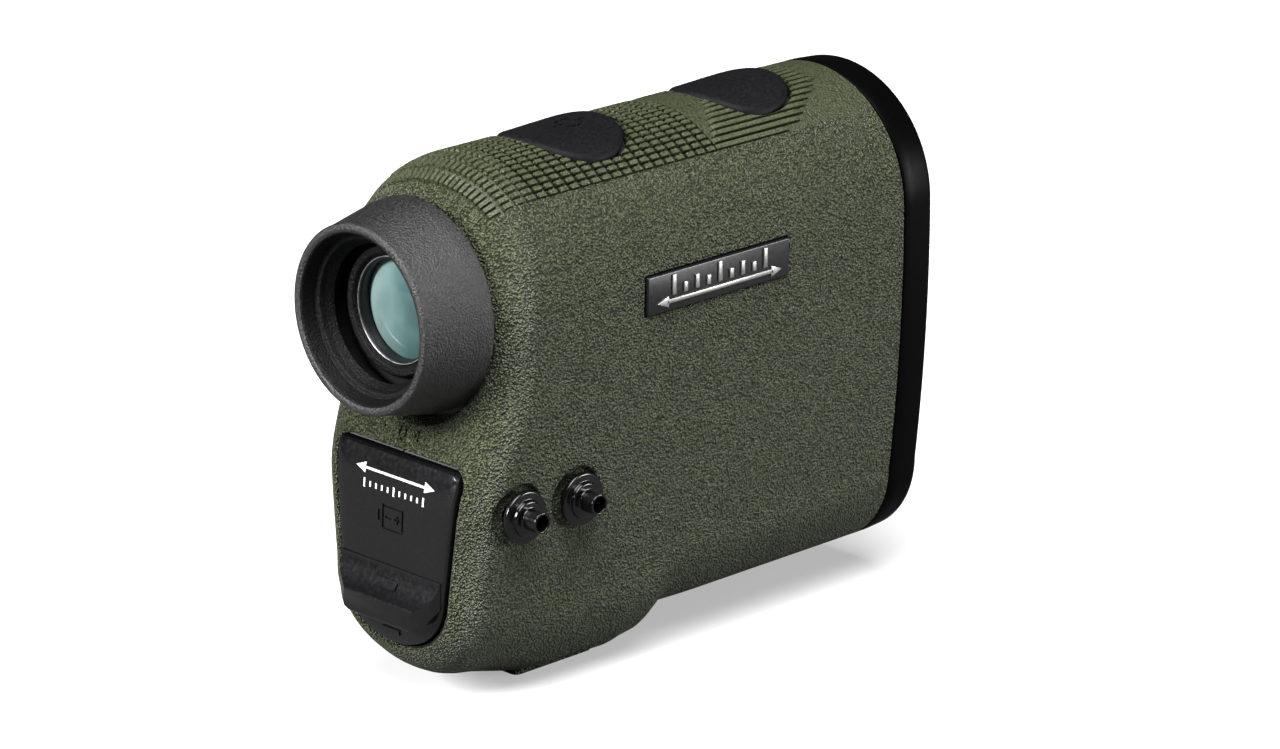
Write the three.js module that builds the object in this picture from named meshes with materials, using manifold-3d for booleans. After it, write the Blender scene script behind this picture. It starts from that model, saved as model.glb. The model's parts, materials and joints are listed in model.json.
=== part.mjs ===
// Hand-held laser rangefinder: a rubber-armoured monocular with two top keys, a turning
// dioptre eyepiece, a hinged battery door and two clip studs.
// Millimetres. +X points forward to the objective, +Y to the user's left, +Z up.
// The origin lies on the resting pad under the battery bay, on the body's mid-plane.
import * as THREE from 'three';
import { mergeVertices } from 'three/addons/utils/BufferGeometryUtils.js';
import Module from 'manifold-3d';

const wasm = await Module();
wasm.setup();

// ---------- driving dimensions ----------
const GAP = 0.3; // air between neighbouring pieces
const AXIS_Z = 56.95; // optical axis height

const BODY = {
  top: 76.5, // highest line of the armour
  halfTop: 18.36, // half width at the top, and the radius of the round top
  halfFront: 16.19, // half width where the front bottom corner starts
  halfRear: 14.7, // the same at the battery bay
  cornerFront: 13.7, // bottom corner radius in front
  cornerRear: 14.6, // bottom corner radius at the battery bay
  sideBulge: 0.65, // how far the flat-looking sides swell outwards
  bottomFront: 4.6, // underside height in front of the bay
  bottomRear: 2.9, // underside height at the rear end
  front: 55.0, // where armour ends and bezel starts
};
const REAR = {
  doorX: -28.1, // rear face at doorZ
  doorZ: 20.6,
  lean: 1.64 / 30, // the lower rear face leans forward as it rises
  upperX: -21.96, // rear face behind the eyepiece
  bendLow: 30.5, // the S-bend between the two faces starts here
  bendHigh: 50.6, // and ends here
  roundSide: 5.7, // edge radii between the rear face and side, top and bottom
  roundTop: 10.2,
  roundBottom: 10.0,
};
const PAD = { x0: -9, x1: 6, half: 4.5 }; // flat resting pad under the battery bay
const KEEL = 0.05; // how far the underside falls to its middle line
const ARMOUR_WALL = 1.2;
const HOUSING_OUTER = ARMOUR_WALL + GAP;
const HOUSING_INNER = HOUSING_OUTER + 1.6;
const HOUSING_FRONT = BODY.front - 0.6;

const BEZEL = { back: 55.3, face: 61.5, wall: 1.8, plate: 2.2, round: 1.0 };
const OBJECTIVE = { clear: 12.6, lensRadius: 12.0, bore: 12.3, cellRadius: 13.4 };
const EMITTER = { z: 29.0, clear: 7.0, lensRadius: 6.8, bore: 7.1, tubeRadius: 8.2 };

const DIOPTRE = {
  pinX: -25.4, // follower pins at rest
  pinRadius: 0.5,
  travel: 1.5, // eyepiece cell, each way
  turn: THREE.MathUtils.degToRad(60), // ring, each way
  slotPlay: 0.25,
};
const CELL_RADIUS = 9.4;
const BARREL = { bore: 9.8, radius: 11.2, back: -26.0, front: -10.0, flangeRadius: 13.0, flangeX: -17.1 };
const CUP_POCKET = { radius: 15.8, floor: -22.0 }; // recess that the eyecup's base turns in
const RING = { bore: 11.5, radius: 12.7, back: -28.6, front: -22.4 };

const KEYS = {
  measure: { x: 4.0, ahead: 8.4, behind: 7.6, half: 9.0, stemX: 3.2 },
  menu: { x: 36.5, ahead: 9.1, behind: 6.4, half: 8.6, stemX: 33.5 },
};
const KEY = {
  proud: 0.5, // above the armour at the middle
  tilt: 2.2, // degrees, rising towards the front
  wall: 1.1,
  gap: 0.35,
  stem: 2.2,
  squareness: 2.25, // exponent of the squared-off oval
};
const BUTTON_BOARD_Z = 69.4;

const DOOR = {
  top: 36.0,
  halfTop: 12.2,
  halfLow: 10.3,
  lowZ: 17.2, // where the sides meet the round lower end
  bottom: 8.9,
  corner: 1.8,
  backX: -25.2, // flat inner face
  gap: 0.35,
  frame: 0.85, // width of the housing rim around the door
};
const HINGE = { x: -25.2, z: 34.5, barrel: 1.5, pin: 0.5, halfLength: 13.3 };
// The lip that a nail pulls on to open the door: a hollow ramp ending in an upright front face.
const LIP = {
  insideX: -27.2,
  outsideX: -32,
  halfWidth: 11,
  top: 21,
  side: [[20.3, -28.6], [15.9, -30.9], [12.8, -30.8], [12.4, -27.2]], // (z, x), ramp then front face
  plan: [[-27.2, 10.1], [-28.3, 10.1], [-29.4, 9.3], [-31.0, 6.7]], // (x, half width)
  front: [[10.2, 21], [10.2, 16.6], [8.7, 14.3], [4.2, 12.0]], // (half width, z)
  scoop: { x: -35.2, z: 21.6, radius: 7.0 },
};

const BATTERY = { z: 19.5, radius: 7.8, back: -21.6, front: 4.4, nub: 1.0 };
const BAY = { bore: 8.15, radius: 9.0, flangeRadius: 10.8, flangeX: -23.6, end: 7.5 };

const STUD = {
  xs: { rear: -19.4, front: -8.6 },
  z: 29.7,
  seatY: -17.0, // flat pad on the armour
  flange: 3.8,
  collar: 2.5,
  tube: 1.5,
  bore: 1.15,
};
const BADGE = { x0: 3.1, x1: 31.1, z0: 53.5, z1: 59.1, proud: 0.55, depth: 0.7 };
const SCREWS = [
  { x: -13.5, z: 35.8 },
  { x: 14, z: 33 },
  { x: 20, z: 14 },
  { x: 50, z: 14 },
];

// ---------- materials ----------
function material(color, roughness, metalness = 0) {
  return new THREE.MeshStandardMaterial({ color, roughness, metalness });
}
const MATERIALS = {
  armour: material(0x3c4230, 0.85),
  housing: material(0x1b1c1e, 0.7),
  bezel: material(0x121314, 0.45),
  eyecup: material(0x1d1d20, 0.8),
  key: material(0x222226, 0.7),
  door: material(0x141416, 0.4),
  badge: material(0x101112, 0.35),
  stud: material(0x0e0f10, 0.2, 0.6),
  anodised: material(0x17181a, 0.5, 0.7),
  steel: material(0xb9bcc0, 0.3, 1),
  glass: material(0x9fd0c4, 0.05),
  seal: material(0x0b0b0c, 0.9),
  board: material(0x1c5a38, 0.6),
  chip: material(0x101010, 0.5),
  flex: material(0xb5762a, 0.6),
  battery: material(0x8f949a, 0.35, 0.8),
  brass: material(0xc9a04a, 0.35, 1),
};

// ---------- solids ----------
function toSolid(geometry) {
  const bare = geometry.clone();
  bare.deleteAttribute('normal');
  bare.deleteAttribute('uv');
  const merged = mergeVertices(bare, 1e-4);
  const index = merged.index.array;
  const kept = [];
  for (let i = 0; i < index.length; i += 3) {
    const [a, b, c] = [index[i], index[i + 1], index[i + 2]];
    if (a !== b && b !== c && c !== a) kept.push(a, b, c);
  }
  const solid = new wasm.Manifold(new wasm.Mesh({
    numProp: 3,
    vertProperties: new Float32Array(merged.attributes.position.array),
    triVerts: new Uint32Array(kept),
  }));
  if (solid.volume() < 0) throw new Error('a solid is inside out');
  return solid;
}

function toGeometry(solid) {
  const mesh = solid.getMesh();
  const geometry = new THREE.BufferGeometry();
  geometry.setAttribute('position', new THREE.BufferAttribute(new Float32Array(mesh.vertProperties), 3));
  geometry.setIndex(new THREE.BufferAttribute(new Uint32Array(mesh.triVerts), 1));
  geometry.computeVertexNormals();
  return geometry;
}

function cut(solid, ...tools) {
  return tools.reduce((left, tool) => left.subtract(tool), solid);
}

function join(solid, ...others) {
  return others.reduce((left, other) => left.add(other), solid);
}

// ---------- basic shapes ----------
const ALONG = {
  x: new THREE.Matrix4().makeBasis(
    new THREE.Vector3(0, 1, 0), new THREE.Vector3(0, 0, 1), new THREE.Vector3(1, 0, 0)),
  y: new THREE.Matrix4().makeBasis(
    new THREE.Vector3(0, 0, 1), new THREE.Vector3(1, 0, 0), new THREE.Vector3(0, 1, 0)),
  z: new THREE.Matrix4(),
};

// A prism along one axis. The outline's pairs are (y, z) along X, (z, x) along Y, (x, y) along Z.
function prism(axis, outline, from, to) {
  const shape = new THREE.Shape(outline.map(([u, v]) => new THREE.Vector2(u, v)));
  const settings = { depth: to - from, bevelEnabled: false, curveSegments: 1 };
  const geometry = new THREE.ExtrudeGeometry(shape, settings);
  geometry.translate(0, 0, from);
  geometry.applyMatrix4(ALONG[axis]);
  return toSolid(geometry);
}

function circle(u, v, radius, segments) {
  return Array.from({ length: segments }, (_, i) => {
    const angle = (2 * Math.PI * i) / segments;
    return [u + radius * Math.cos(angle), v + radius * Math.sin(angle)];
  });
}

function rod(axis, u, v, radius, from, to, segments = 16) {
  return prism(axis, circle(u, v, radius, segments), from, to);
}

function box(x0, x1, y0, y1, z0, z1) {
  return prism('z', [[x0, y0], [x1, y0], [x1, y1], [x0, y1]], z0, z1);
}

// A turned piece about a line along X. The profile's pairs are (x, radius).
// It starts and ends on the axis, or it is closed on itself.
function turned(profile, { z = AXIS_Z, segments = 22 } = {}) {
  const onAxis = profile[0][1] === 0 && profile.at(-1)[1] === 0;
  const loop = onAxis ? profile : [...profile, profile[0]];
  const points = loop.map(([x, radius]) => new THREE.Vector2(radius, x));
  const area = points.reduce((sum, p, i) => {
    const q = points[(i + 1) % points.length];
    return sum + p.x * q.y - q.x * p.y;
  }, 0);
  if (area < 0) points.reverse();
  const geometry = new THREE.LatheGeometry(points, segments);
  geometry.rotateZ(-Math.PI / 2);
  geometry.translate(0, 0, z);
  return toSolid(geometry);
}

function tube(x0, x1, bore, radius, options) {
  return turned([[x0, bore], [x1, bore], [x1, radius], [x0, radius]], options);
}

function disc(x0, x1, radius, options) {
  return turned([[x0, 0], [x0, radius], [x1, radius], [x1, 0]], options);
}

// A lens of edge radius r, with its two faces at x0 and x1 on the rim and bowed by sag0 and sag1.
function lens(x0, sag0, x1, sag1, radius, options) {
  const steps = 3;
  const face = (x, sag) => Array.from({ length: steps + 1 }, (_, i) => {
    const share = i / steps;
    return [x + sag * (1 - share * share), radius * share];
  });
  return turned([...face(x0, sag0), ...face(x1, sag1).reverse()], options);
}

// A closed skin through rings of equal length, its two ends closed by strips across the rings.
// Each ring starts at the top and is symmetrical, so point i faces point n - i.
function loft(rings) {
  const count = rings[0].length;
  const positions = rings.flat().flatMap((p) => [p.x, p.y, p.z]);
  const index = [];
  for (let r = 0; r + 1 < rings.length; r += 1) {
    for (let i = 0; i < count; i += 1) {
      const j = (i + 1) % count;
      const [a, b, c, d] = [r * count + i, r * count + j, (r + 1) * count + j, (r + 1) * count + i];
      index.push(a, c, b, a, d, c);
    }
  }
  const last = (rings.length - 1) * count;
  for (let i = 0; i < count / 2; i += 1) {
    const [a, b] = [i, i + 1];
    const [c, d] = [(count - i) % count, count - i - 1];
    if (a !== c) index.push(a, d, c, last + a, last + c, last + d);
    if (b !== d) index.push(a, b, d, last + a, last + d, last + b);
  }
  const geometry = new THREE.BufferGeometry();
  geometry.setAttribute('position', new THREE.BufferAttribute(new Float32Array(positions), 3));
  geometry.setIndex(index);
  return toSolid(geometry);
}

// ---------- the body's skin ----------
function ease(from, to, value) {
  const t = THREE.MathUtils.clamp((value - from) / (to - from), 0, 1);
  return t * t * (3 - 2 * t);
}

// Underside height: up at the rear end, lowest under the battery, stepped up in front of it.
function undersideZ(x) {
  const bay = BODY.bottomRear * (1 - ease(-22, -6, x)) + 0.8 * ease(4.2, 7.8, x);
  const step = ease(7.8, 13.8, x);
  return bay * (1 - step) + BODY.bottomFront * step;
}

function rearX(z) {
  const lower = REAR.doorX + REAR.lean * (z - REAR.doorZ);
  const bend = ease(REAR.bendLow, REAR.bendHigh, z);
  return lower * (1 - bend) + REAR.upperX * bend;
}

// The outline at station x: points with outward normals, from the top down the left side
// and back up the right side.
function outlinePoint(x, kind, t) {
  const { halfTop, sideBulge } = BODY;
  const forward = ease(-4, 22, x);
  const half = THREE.MathUtils.lerp(BODY.halfRear, BODY.halfFront, forward);
  const corner = THREE.MathUtils.lerp(BODY.cornerRear, BODY.cornerFront, forward);
  const low = undersideZ(x);
  const shoulderZ = BODY.top - halfTop;
  const cornerZ = low + corner;
  if (kind === 'arch') {
    const angle = (t * Math.PI) / 2;
    const [ny, nz] = [Math.sin(angle), Math.cos(angle)];
    return { y: halfTop * ny, z: shoulderZ + halfTop * nz, ny, nz };
  }
  if (kind === 'side') {
    const dy = half - halfTop + 4 * sideBulge * (1 - 2 * t);
    const dz = cornerZ - shoulderZ;
    const length = Math.hypot(dy, dz);
    return {
      y: THREE.MathUtils.lerp(halfTop, half, t) + 4 * sideBulge * t * (1 - t),
      z: THREE.MathUtils.lerp(shoulderZ, cornerZ, t),
      ny: -dz / length,
      nz: dy / length,
    };
  }
  if (kind === 'corner') {
    const angle = (t * Math.PI) / 2;
    const [ny, nz] = [Math.cos(angle), -Math.sin(angle)];
    return { y: half - corner + corner * ny, z: cornerZ + corner * nz, ny, nz };
  }
  return { y: (half - corner) * (1 - t), z: low + KEEL * (1 - t), ny: 0, nz: -1 };
}

function halfOutline(x, detail) {
  const points = [];
  for (let i = 0; i < detail.arch; i += 1) points.push(['arch', i / detail.arch]);
  for (let i = 0; i < detail.side; i += 1) points.push(['side', i / detail.side]);
  for (let i = 0; i < detail.corner; i += 1) points.push(['corner', i / detail.corner]);
  points.push(['floor', 0], ['floor', 1]);
  return points.map(([kind, t]) => ({ kind, t, ...outlinePoint(x, kind, t) }));
}

function edgeRadius(point) {
  const target = point.nz > 0 ? REAR.roundTop : REAR.roundBottom;
  return REAR.roundSide + (target - REAR.roundSide) * point.nz * point.nz;
}

function mirrored(half) {
  const right = half.slice(1, -1).reverse().map((p) => new THREE.Vector3(p.x, -p.y, p.z));
  return [...half, ...right];
}

// One ring of the rounded rear edge. roll runs from 0 on the rear face to a right angle.
function rearRing(inset, roll, detail) {
  const start = halfOutline(REAR.doorX + REAR.roundSide, detail);
  return mirrored(start.map(({ kind, t }) => {
    let x = REAR.doorX + REAR.roundSide;
    let place;
    for (let pass = 0; pass < 3; pass += 1) {
      const point = outlinePoint(x, kind, t);
      const radius = edgeRadius(point) - inset;
      const inward = inset + radius * (1 - Math.sin(roll));
      const z = point.z - point.nz * inward;
      x = rearX(z) + inset + radius * (1 - Math.cos(roll));
      place = new THREE.Vector3(x, point.y - point.ny * inward, z);
    }
    return place;
  }));
}

function bodyRing(inset, x, detail) {
  return mirrored(halfOutline(x, detail).map((p) => (
    new THREE.Vector3(x, p.y - p.ny * inset, p.z - p.nz * inset)
  )));
}

const FINE = { arch: 8, side: 7, corner: 5 };
const PLAIN = { arch: 5, side: 5, corner: 4 };
const STATIONS = [-4, 4.2, 7.8, 10.8, 13.8, 22];

function skin(inset, front, detail = FINE, rolls = 4) {
  const rings = [];
  for (let i = 0; i <= rolls; i += 1) rings.push(rearRing(inset, (i / rolls) * (Math.PI / 2), detail));
  for (const x of [...STATIONS, front]) rings.push(bodyRing(inset, x, detail));
  return loft(rings);
}

// ---------- outlines shared by several pieces ----------
// The door's outline in (y, z), grown outwards by the given margin.
function doorOutline(margin, corner = DOOR.corner + margin) {
  const top = DOOR.top + margin;
  const half = DOOR.halfTop + margin;
  const low = DOOR.halfLow + margin;
  const right = [];
  for (let i = 0; i <= 4; i += 1) {
    const angle = (i / 4) * (Math.PI / 2);
    right.push([half - corner + corner * Math.sin(angle), top - corner + corner * Math.cos(angle)]);
  }
  for (let i = 0; i < 8; i += 1) {
    const angle = (i / 8) * (Math.PI / 2);
    right.push([low * Math.cos(angle), DOOR.lowZ - (DOOR.lowZ - DOOR.bottom + margin) * Math.sin(angle)]);
  }
  const left = right.map(([y, z]) => [-y, z]).reverse();
  return [...right, [0, DOOR.bottom - margin], ...left].reverse();
}

// A key's plan outline in (x, y): a squared-off oval, longer ahead than behind.
function keyOutline(key, margin) {
  const count = 24;
  return Array.from({ length: count }, (_, i) => {
    const angle = (2 * Math.PI * i) / count;
    const bend = (value) => Math.sign(value) * Math.abs(value) ** (2 / KEY.squareness);
    const reach = (Math.cos(angle) > 0 ? key.ahead : key.behind) + margin;
    return [key.x + reach * bend(Math.cos(angle)), (key.half + margin) * bend(Math.sin(angle))];
  });
}

// ---------- body pieces ----------
function studPad() {
  const radius = 5.2;
  const outline = [];
  for (let i = 0; i <= 8; i += 1) {
    const angle = (i / 8) * Math.PI;
    outline.push([STUD.z + radius * Math.cos(angle), STUD.xs.front + radius * Math.sin(angle)]);
  }
  for (let i = 0; i <= 8; i += 1) {
    const angle = (i / 8) * Math.PI;
    outline.push([STUD.z - radius * Math.cos(angle), STUD.xs.rear - radius * Math.sin(angle)]);
  }
  return prism('y', outline, STUD.seatY, STUD.seatY + 2);
}

function restingPad() {
  return box(PAD.x0, PAD.x1, -PAD.half, PAD.half, 0, 2);
}

function studHoles() {
  return Object.values(STUD.xs).map((x) => rod('y', STUD.z, x, 2.1, -19, -8));
}

function eyecupPocket() {
  return rod('x', 0, AXIS_Z, CUP_POCKET.radius, -40, CUP_POCKET.floor, 40);
}

function badgePocket(side) {
  const [near, far] = [BODY.halfTop - BADGE.depth - GAP, BODY.halfTop + 3];
  const [y0, y1] = side > 0 ? [near, far] : [-far, -near];
  return box(BADGE.x0 - GAP, BADGE.x1 + GAP, y0, y1, BADGE.z0 - GAP, BADGE.z1 + GAP);
}

function makeArmour() {
  const outer = join(skin(0, BODY.front), studPad(), restingPad());
  return cut(
    outer,
    skin(ARMOUR_WALL, BODY.front + 2, PLAIN, 3),
    rod('x', 0, AXIS_Z, 12.0, -30, -10, 32),
    eyecupPocket(),
    prism('x', doorOutline(DOOR.gap + DOOR.frame + GAP), -40, -19),
    ...Object.values(KEYS).map((key) => prism('z', keyOutline(key, KEY.gap), 62, 80)),
    ...studHoles(),
    badgePocket(-1),
    badgePocket(1),
  );
}

function doorFrame() {
  const rim = cut(
    prism('x', doorOutline(DOOR.gap + DOOR.frame), -32, -23.9),
    prism('x', doorOutline(DOOR.gap, 1.2), -33, -20),
  );
  return rim.intersect(skin(0.6, 0, FINE));
}

function makeHousing() {
  const shell = skin(HOUSING_OUTER, HOUSING_FRONT, PLAIN, 3)
    .subtract(skin(HOUSING_INNER, HOUSING_FRONT + 2, PLAIN, 3));
  const inside = skin(HOUSING_OUTER + 0.4, HOUSING_FRONT - 1, PLAIN, 3);
  const bosses = SCREWS.map(({ x, z }) => rod('y', z, x, 3.2, -20, 20, 12).intersect(inside));
  const drilled = SCREWS.flatMap(({ x, z }) => [
    rod('y', z, x, 1.3, -20, 9.5, 8),
    rod('y', z, x, 2.2, -20, -9.7, 10),
  ]);
  const stems = Object.values(KEYS).map((key) => rod('z', key.stemX, 0, KEY.stem + 0.4, 66, 80));
  return cut(
    join(shell, doorFrame(), ...bosses),
    ...drilled,
    ...stems,
    ...studHoles(),
    rod('x', 0, AXIS_Z, BARREL.radius + GAP, -30, -10, 32),
    eyecupPocket(),
    prism('x', doorOutline(DOOR.gap, 1.2), -40, -22),
    rod('y', HINGE.z, HINGE.x, HINGE.pin + 0.1, -16, 16, 12),
    rod('y', HINGE.z, HINGE.x, HINGE.barrel + DOOR.gap, -DOOR.halfTop, DOOR.halfTop, 20),
  );
}

function makeBezel() {
  const rings = [
    bodyRing(0, BEZEL.back, FINE),
    bodyRing(0.2, BEZEL.face - BEZEL.round, FINE),
    bodyRing(BEZEL.round, BEZEL.face, FINE),
  ];
  const inner = loft([
    bodyRing(BEZEL.wall, BEZEL.back - 1, PLAIN),
    bodyRing(BEZEL.wall, BEZEL.face - BEZEL.plate, PLAIN),
  ]);
  const aperture = (z, radius) => turned([
    [BEZEL.face - 4, 0],
    [BEZEL.face - 4, radius],
    [BEZEL.face - 1.1, radius],
    [BEZEL.face + 0.5, radius + 1.6],
    [BEZEL.face + 0.5, 0],
  ], { z, segments: 24 });
  return cut(loft(rings), inner, aperture(AXIS_Z, OBJECTIVE.clear), aperture(EMITTER.z, EMITTER.clear));
}

function makeFrontGasket() {
  const ring = (inset) => loft([
    bodyRing(inset, HOUSING_FRONT + GAP, PLAIN),
    bodyRing(inset, BEZEL.back - GAP, PLAIN),
  ]);
  const hole = loft([
    bodyRing(3.0, HOUSING_FRONT, PLAIN),
    bodyRing(3.0, BEZEL.back, PLAIN),
  ]);
  return ring(1.8).subtract(hole);
}

function makeBadge(side) {
  const [near, far] = [BODY.halfTop - BADGE.depth, BODY.halfTop + BADGE.proud];
  const [y0, y1] = side > 0 ? [near, far] : [-far, -near];
  return box(BADGE.x0, BADGE.x1, y0, y1, BADGE.z0, BADGE.z1);
}

// A clip stud: shank through the wall, flange, raised collar and a hollow tube.
function makeStud(x) {
  const face = STUD.seatY - GAP;
  const turnedStud = turned([
    [face + 6.3, 0],
    [face + 6.3, 1.8],
    [face, 1.8],
    [face, STUD.flange],
    [face - 0.8, STUD.flange],
    [face - 0.8, STUD.collar],
    [face - 1.4, STUD.collar],
    [face - 1.4, STUD.tube],
    [face - 3.9, STUD.tube],
    [face - 3.9, STUD.bore],
    [face - 1.2, STUD.bore],
    [face - 1.2, 0],
  ], { z: 0, segments: 18 });
  return turnedStud.rotate([0, 0, 90]).translate([x, 0, STUD.z]);
}

function makeStudWasher(x) {
  const washer = tube(0, 0.8, 2.1, 3.4, { z: 0, segments: 14 });
  return washer.rotate([0, 0, 90]).translate([x, STUD.seatY + 4.6, STUD.z]);
}

function makeScrew({ x, z }) {
  return rod('y', z, x, 1.0, -9.8, 8.8, 8).add(rod('y', z, x, 1.9, -11.6, -9.8, 10));
}

// ---------- keys and switches ----------
function makeKey(key) {
  const shoulderZ = BODY.top - BODY.halfTop;
  const arch = (radius) => {
    const points = [];
    for (let i = 0; i <= 10; i += 1) {
      const angle = ((i / 10) * 2 - 1) * (Math.PI / 5);
      points.push([radius * Math.sin(angle), shoulderZ + radius * Math.cos(angle)]);
    }
    return points;
  };
  const outer = arch(BODY.halfTop + KEY.proud);
  const inner = arch(BODY.halfTop + KEY.proud - KEY.wall).reverse();
  const shell = prism('x', [...outer, ...inner].reverse(), key.x - 15, key.x + 15);
  const tilted = shell
    .translate([-key.x, 0, -BODY.top])
    .rotate([0, -KEY.tilt, 0])
    .translate([key.x, 0, BODY.top]);
  const cap = tilted.intersect(prism('z', keyOutline(key, 0), 60, 80));
  const stemTop = BODY.top + KEY.proud - KEY.wall / 2;
  return cap.add(rod('z', key.stemX, 0, KEY.stem, BUTTON_BOARD_Z + 3.2, stemTop));
}

function makeSwitch(key) {
  const base = BUTTON_BOARD_Z + 0.9;
  const body = box(key.stemX - 2.6, key.stemX + 2.6, -2.6, 2.6, base, base + 1.3);
  return body.subtract(rod('z', key.stemX, 0, 1.3, base + 0.3, base + 2, 12));
}

function makePlunger(key) {
  const base = BUTTON_BOARD_Z + 0.9;
  return rod('z', key.stemX, 0, 1.0, base + 0.9, base + 2.0, 12);
}

// ---------- eyepiece ----------
function makeEyecup() {
  return turned([
    [-22.3, 15.2],
    [-24.5, 14.9],
    [-30.9, 13.7],
    [-32.6, 13.7],
    [-33.5, 12.8],
    [-33.2, 11.95],
    [-31.0, 11.4],
    [-30.8, 10.9],
    [-29.2, 9.8],
    [-28.9, 9.9],
    [-28.9, 13.0],
    [-22.3, 13.0],
  ], { segments: 28 });
}

// The swept band of one helical slot: it climbs towards -X as the ring angle grows.
function helicalSlot(centreAngle) {
  const half = DIOPTRE.pinRadius + DIOPTRE.slotPlay;
  const slope = DIOPTRE.travel / DIOPTRE.turn;
  const reach = DIOPTRE.turn + half / RING.bore;
  const steps = 8;
  const positions = [];
  for (let i = 0; i <= steps; i += 1) {
    const swing = ((i / steps) * 2 - 1) * reach;
    const angle = centreAngle + swing;
    const x = DIOPTRE.pinX - slope * swing;
    for (const [dx, radius] of [[-half, 10], [-half, 14], [half, 14], [half, 10]]) {
      positions.push(x + dx, radius * Math.cos(angle), AXIS_Z + radius * Math.sin(angle));
    }
  }
  const index = [0, 1, 2, 0, 2, 3];
  const last = steps * 4;
  index.push(last, last + 2, last + 1, last, last + 3, last + 2);
  for (let i = 0; i < steps; i += 1) {
    for (let k = 0; k < 4; k += 1) {
      const [a, b] = [i * 4 + k, i * 4 + ((k + 1) % 4)];
      index.push(a, b + 4, b, a, a + 4, b + 4);
    }
  }
  const geometry = new THREE.BufferGeometry();
  geometry.setAttribute('position', new THREE.BufferAttribute(new Float32Array(positions), 3));
  geometry.setIndex(index);
  return toSolid(geometry);
}

function makeDioptreRing() {
  const ring = tube(RING.back, RING.front, RING.bore, RING.radius);
  return cut(ring, helicalSlot(0), helicalSlot(Math.PI));
}

function makeBarrel() {
  const body = turned([
    [BARREL.back, BARREL.bore],
    [BARREL.front, BARREL.bore],
    [BARREL.front, BARREL.radius],
    [BARREL.flangeX + 1.4, BARREL.radius],
    [BARREL.flangeX + 1.4, BARREL.flangeRadius],
    [BARREL.flangeX, BARREL.flangeRadius],
    [BARREL.flangeX, BARREL.radius],
    [BARREL.back, BARREL.radius],
  ]);
  const half = DIOPTRE.pinRadius + DIOPTRE.slotPlay;
  const reach = DIOPTRE.travel + half;
  const slot = (y0, y1) => box(
    BARREL.back - 1, DIOPTRE.pinX + reach, y0, y1, AXIS_Z - half, AXIS_Z + half);
  return cut(body, slot(8, 14), slot(-14, -8));
}

function makeEyeCell() {
  const body = turned([
    [-27.4, 9.0],
    [-27.1, CELL_RADIUS],
    [-13.0, CELL_RADIUS],
    [-13.0, 8.1],
    [-14.4, 8.1],
    [-14.4, 6.6],
    [-20.8, 6.6],
    [-20.8, 7.6],
    [-24.8, 7.6],
    [-24.8, 8.9],
    [-26.9, 8.9],
  ]);
  const pin = (from, to) => rod('y', AXIS_Z, DIOPTRE.pinX, DIOPTRE.pinRadius, from, to, 10);
  return join(body, pin(9.1, 12.4), pin(-12.4, -9.1));
}

// ---------- battery door and bay ----------
function makeDoor() {
  const plate = skin(0, 0, FINE).intersect(prism('x', doorOutline(0), -40, DOOR.backX));
  const below = box(-40, -20, -20, 20, 0, HINGE.z);
  const shoulder = rod('y', HINGE.z, HINGE.x, HINGE.barrel, -20, 20, 20)
    .intersect(prism('x', doorOutline(0), -40, -20));
  const side = [[LIP.side[0][0], LIP.insideX], ...LIP.side];
  const plan = [...LIP.plan, ...LIP.plan.map(([x, half]) => [x, -half]).reverse()];
  const front = [...LIP.front, ...LIP.front.map(([half, z]) => [-half, z]).reverse()];
  const lip = prism('y', side, -LIP.halfWidth, LIP.halfWidth)
    .intersect(prism('z', plan, DOOR.bottom, LIP.top))
    .intersect(prism('x', front, LIP.outsideX, LIP.insideX));
  const { x, z, radius } = LIP.scoop;
  const scoop = rod('y', z, x, radius, -20, 20, 40);
  const pinHole = rod('y', HINGE.z, HINGE.x, HINGE.pin + 0.1, -20, 20, 12);
  return cut(join(plate.intersect(below), shoulder, lip), scoop, pinHole);
}

function makeHingePin() {
  return rod('y', HINGE.z, HINGE.x, HINGE.pin, -HINGE.halfLength, HINGE.halfLength, 12);
}

function makeContactSpring() {
  const turns = 3;
  const from = DOOR.backX + GAP;
  const wire = 0.3;
  const length = BATTERY.back - GAP - from;
  const points = [];
  for (let i = 0; i <= turns * 8; i += 1) {
    const share = i / (turns * 8);
    const angle = share * turns * 2 * Math.PI;
    const radius = THREE.MathUtils.lerp(5, 3.2, share);
    const x = from + wire + share * (length - 2 * wire);
    points.push(new THREE.Vector3(x, radius * Math.cos(angle), BATTERY.z + radius * Math.sin(angle)));
  }
  const path = new THREE.CatmullRomCurve3(points);
  const section = new THREE.Shape(circle(0, 0, wire, 5).map(([u, v]) => new THREE.Vector2(u, v)));
  const settings = { extrudePath: path, steps: turns * 10, curveSegments: 1 };
  return toSolid(new THREE.ExtrudeGeometry(section, settings));
}

function makeBatteryTube() {
  const body = turned([
    [BAY.flangeX, BAY.bore],
    [BAY.end - 1.2, BAY.bore],
    [BAY.end - 1.2, 2.0],
    [BAY.end, 2.0],
    [BAY.end, BAY.radius],
    [BAY.flangeX + 1.4, BAY.radius],
    [BAY.flangeX + 1.4, BAY.flangeRadius],
    [BAY.flangeX, BAY.flangeRadius],
  ], { z: BATTERY.z });
  const apron = box(BAY.flangeX, BAY.flangeX + 1.4, -9.6, 9.6, BATTERY.z + 8.6, 32);
  const wall = box(BAY.flangeX + 1.2, BAY.flangeX + 2.6, -9.6, 9.6, BATTERY.z + 9.2, 36.6);
  return join(body, apron, wall);
}

function makeBattery() {
  const { back, front, nub, radius, z } = BATTERY;
  return turned([
    [back, 0],
    [back, radius - 0.6],
    [back + 0.6, radius],
    [front - 0.6, radius],
    [front, radius - 0.6],
    [front, 3.0],
    [front + nub, 3.0],
    [front + nub, 0],
  ], { z });
}

// ---------- optics ----------
const PRISM_X = 14; // where the air gap between the prisms crosses the axis
const PRISM_HALF = 6.5;

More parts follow.
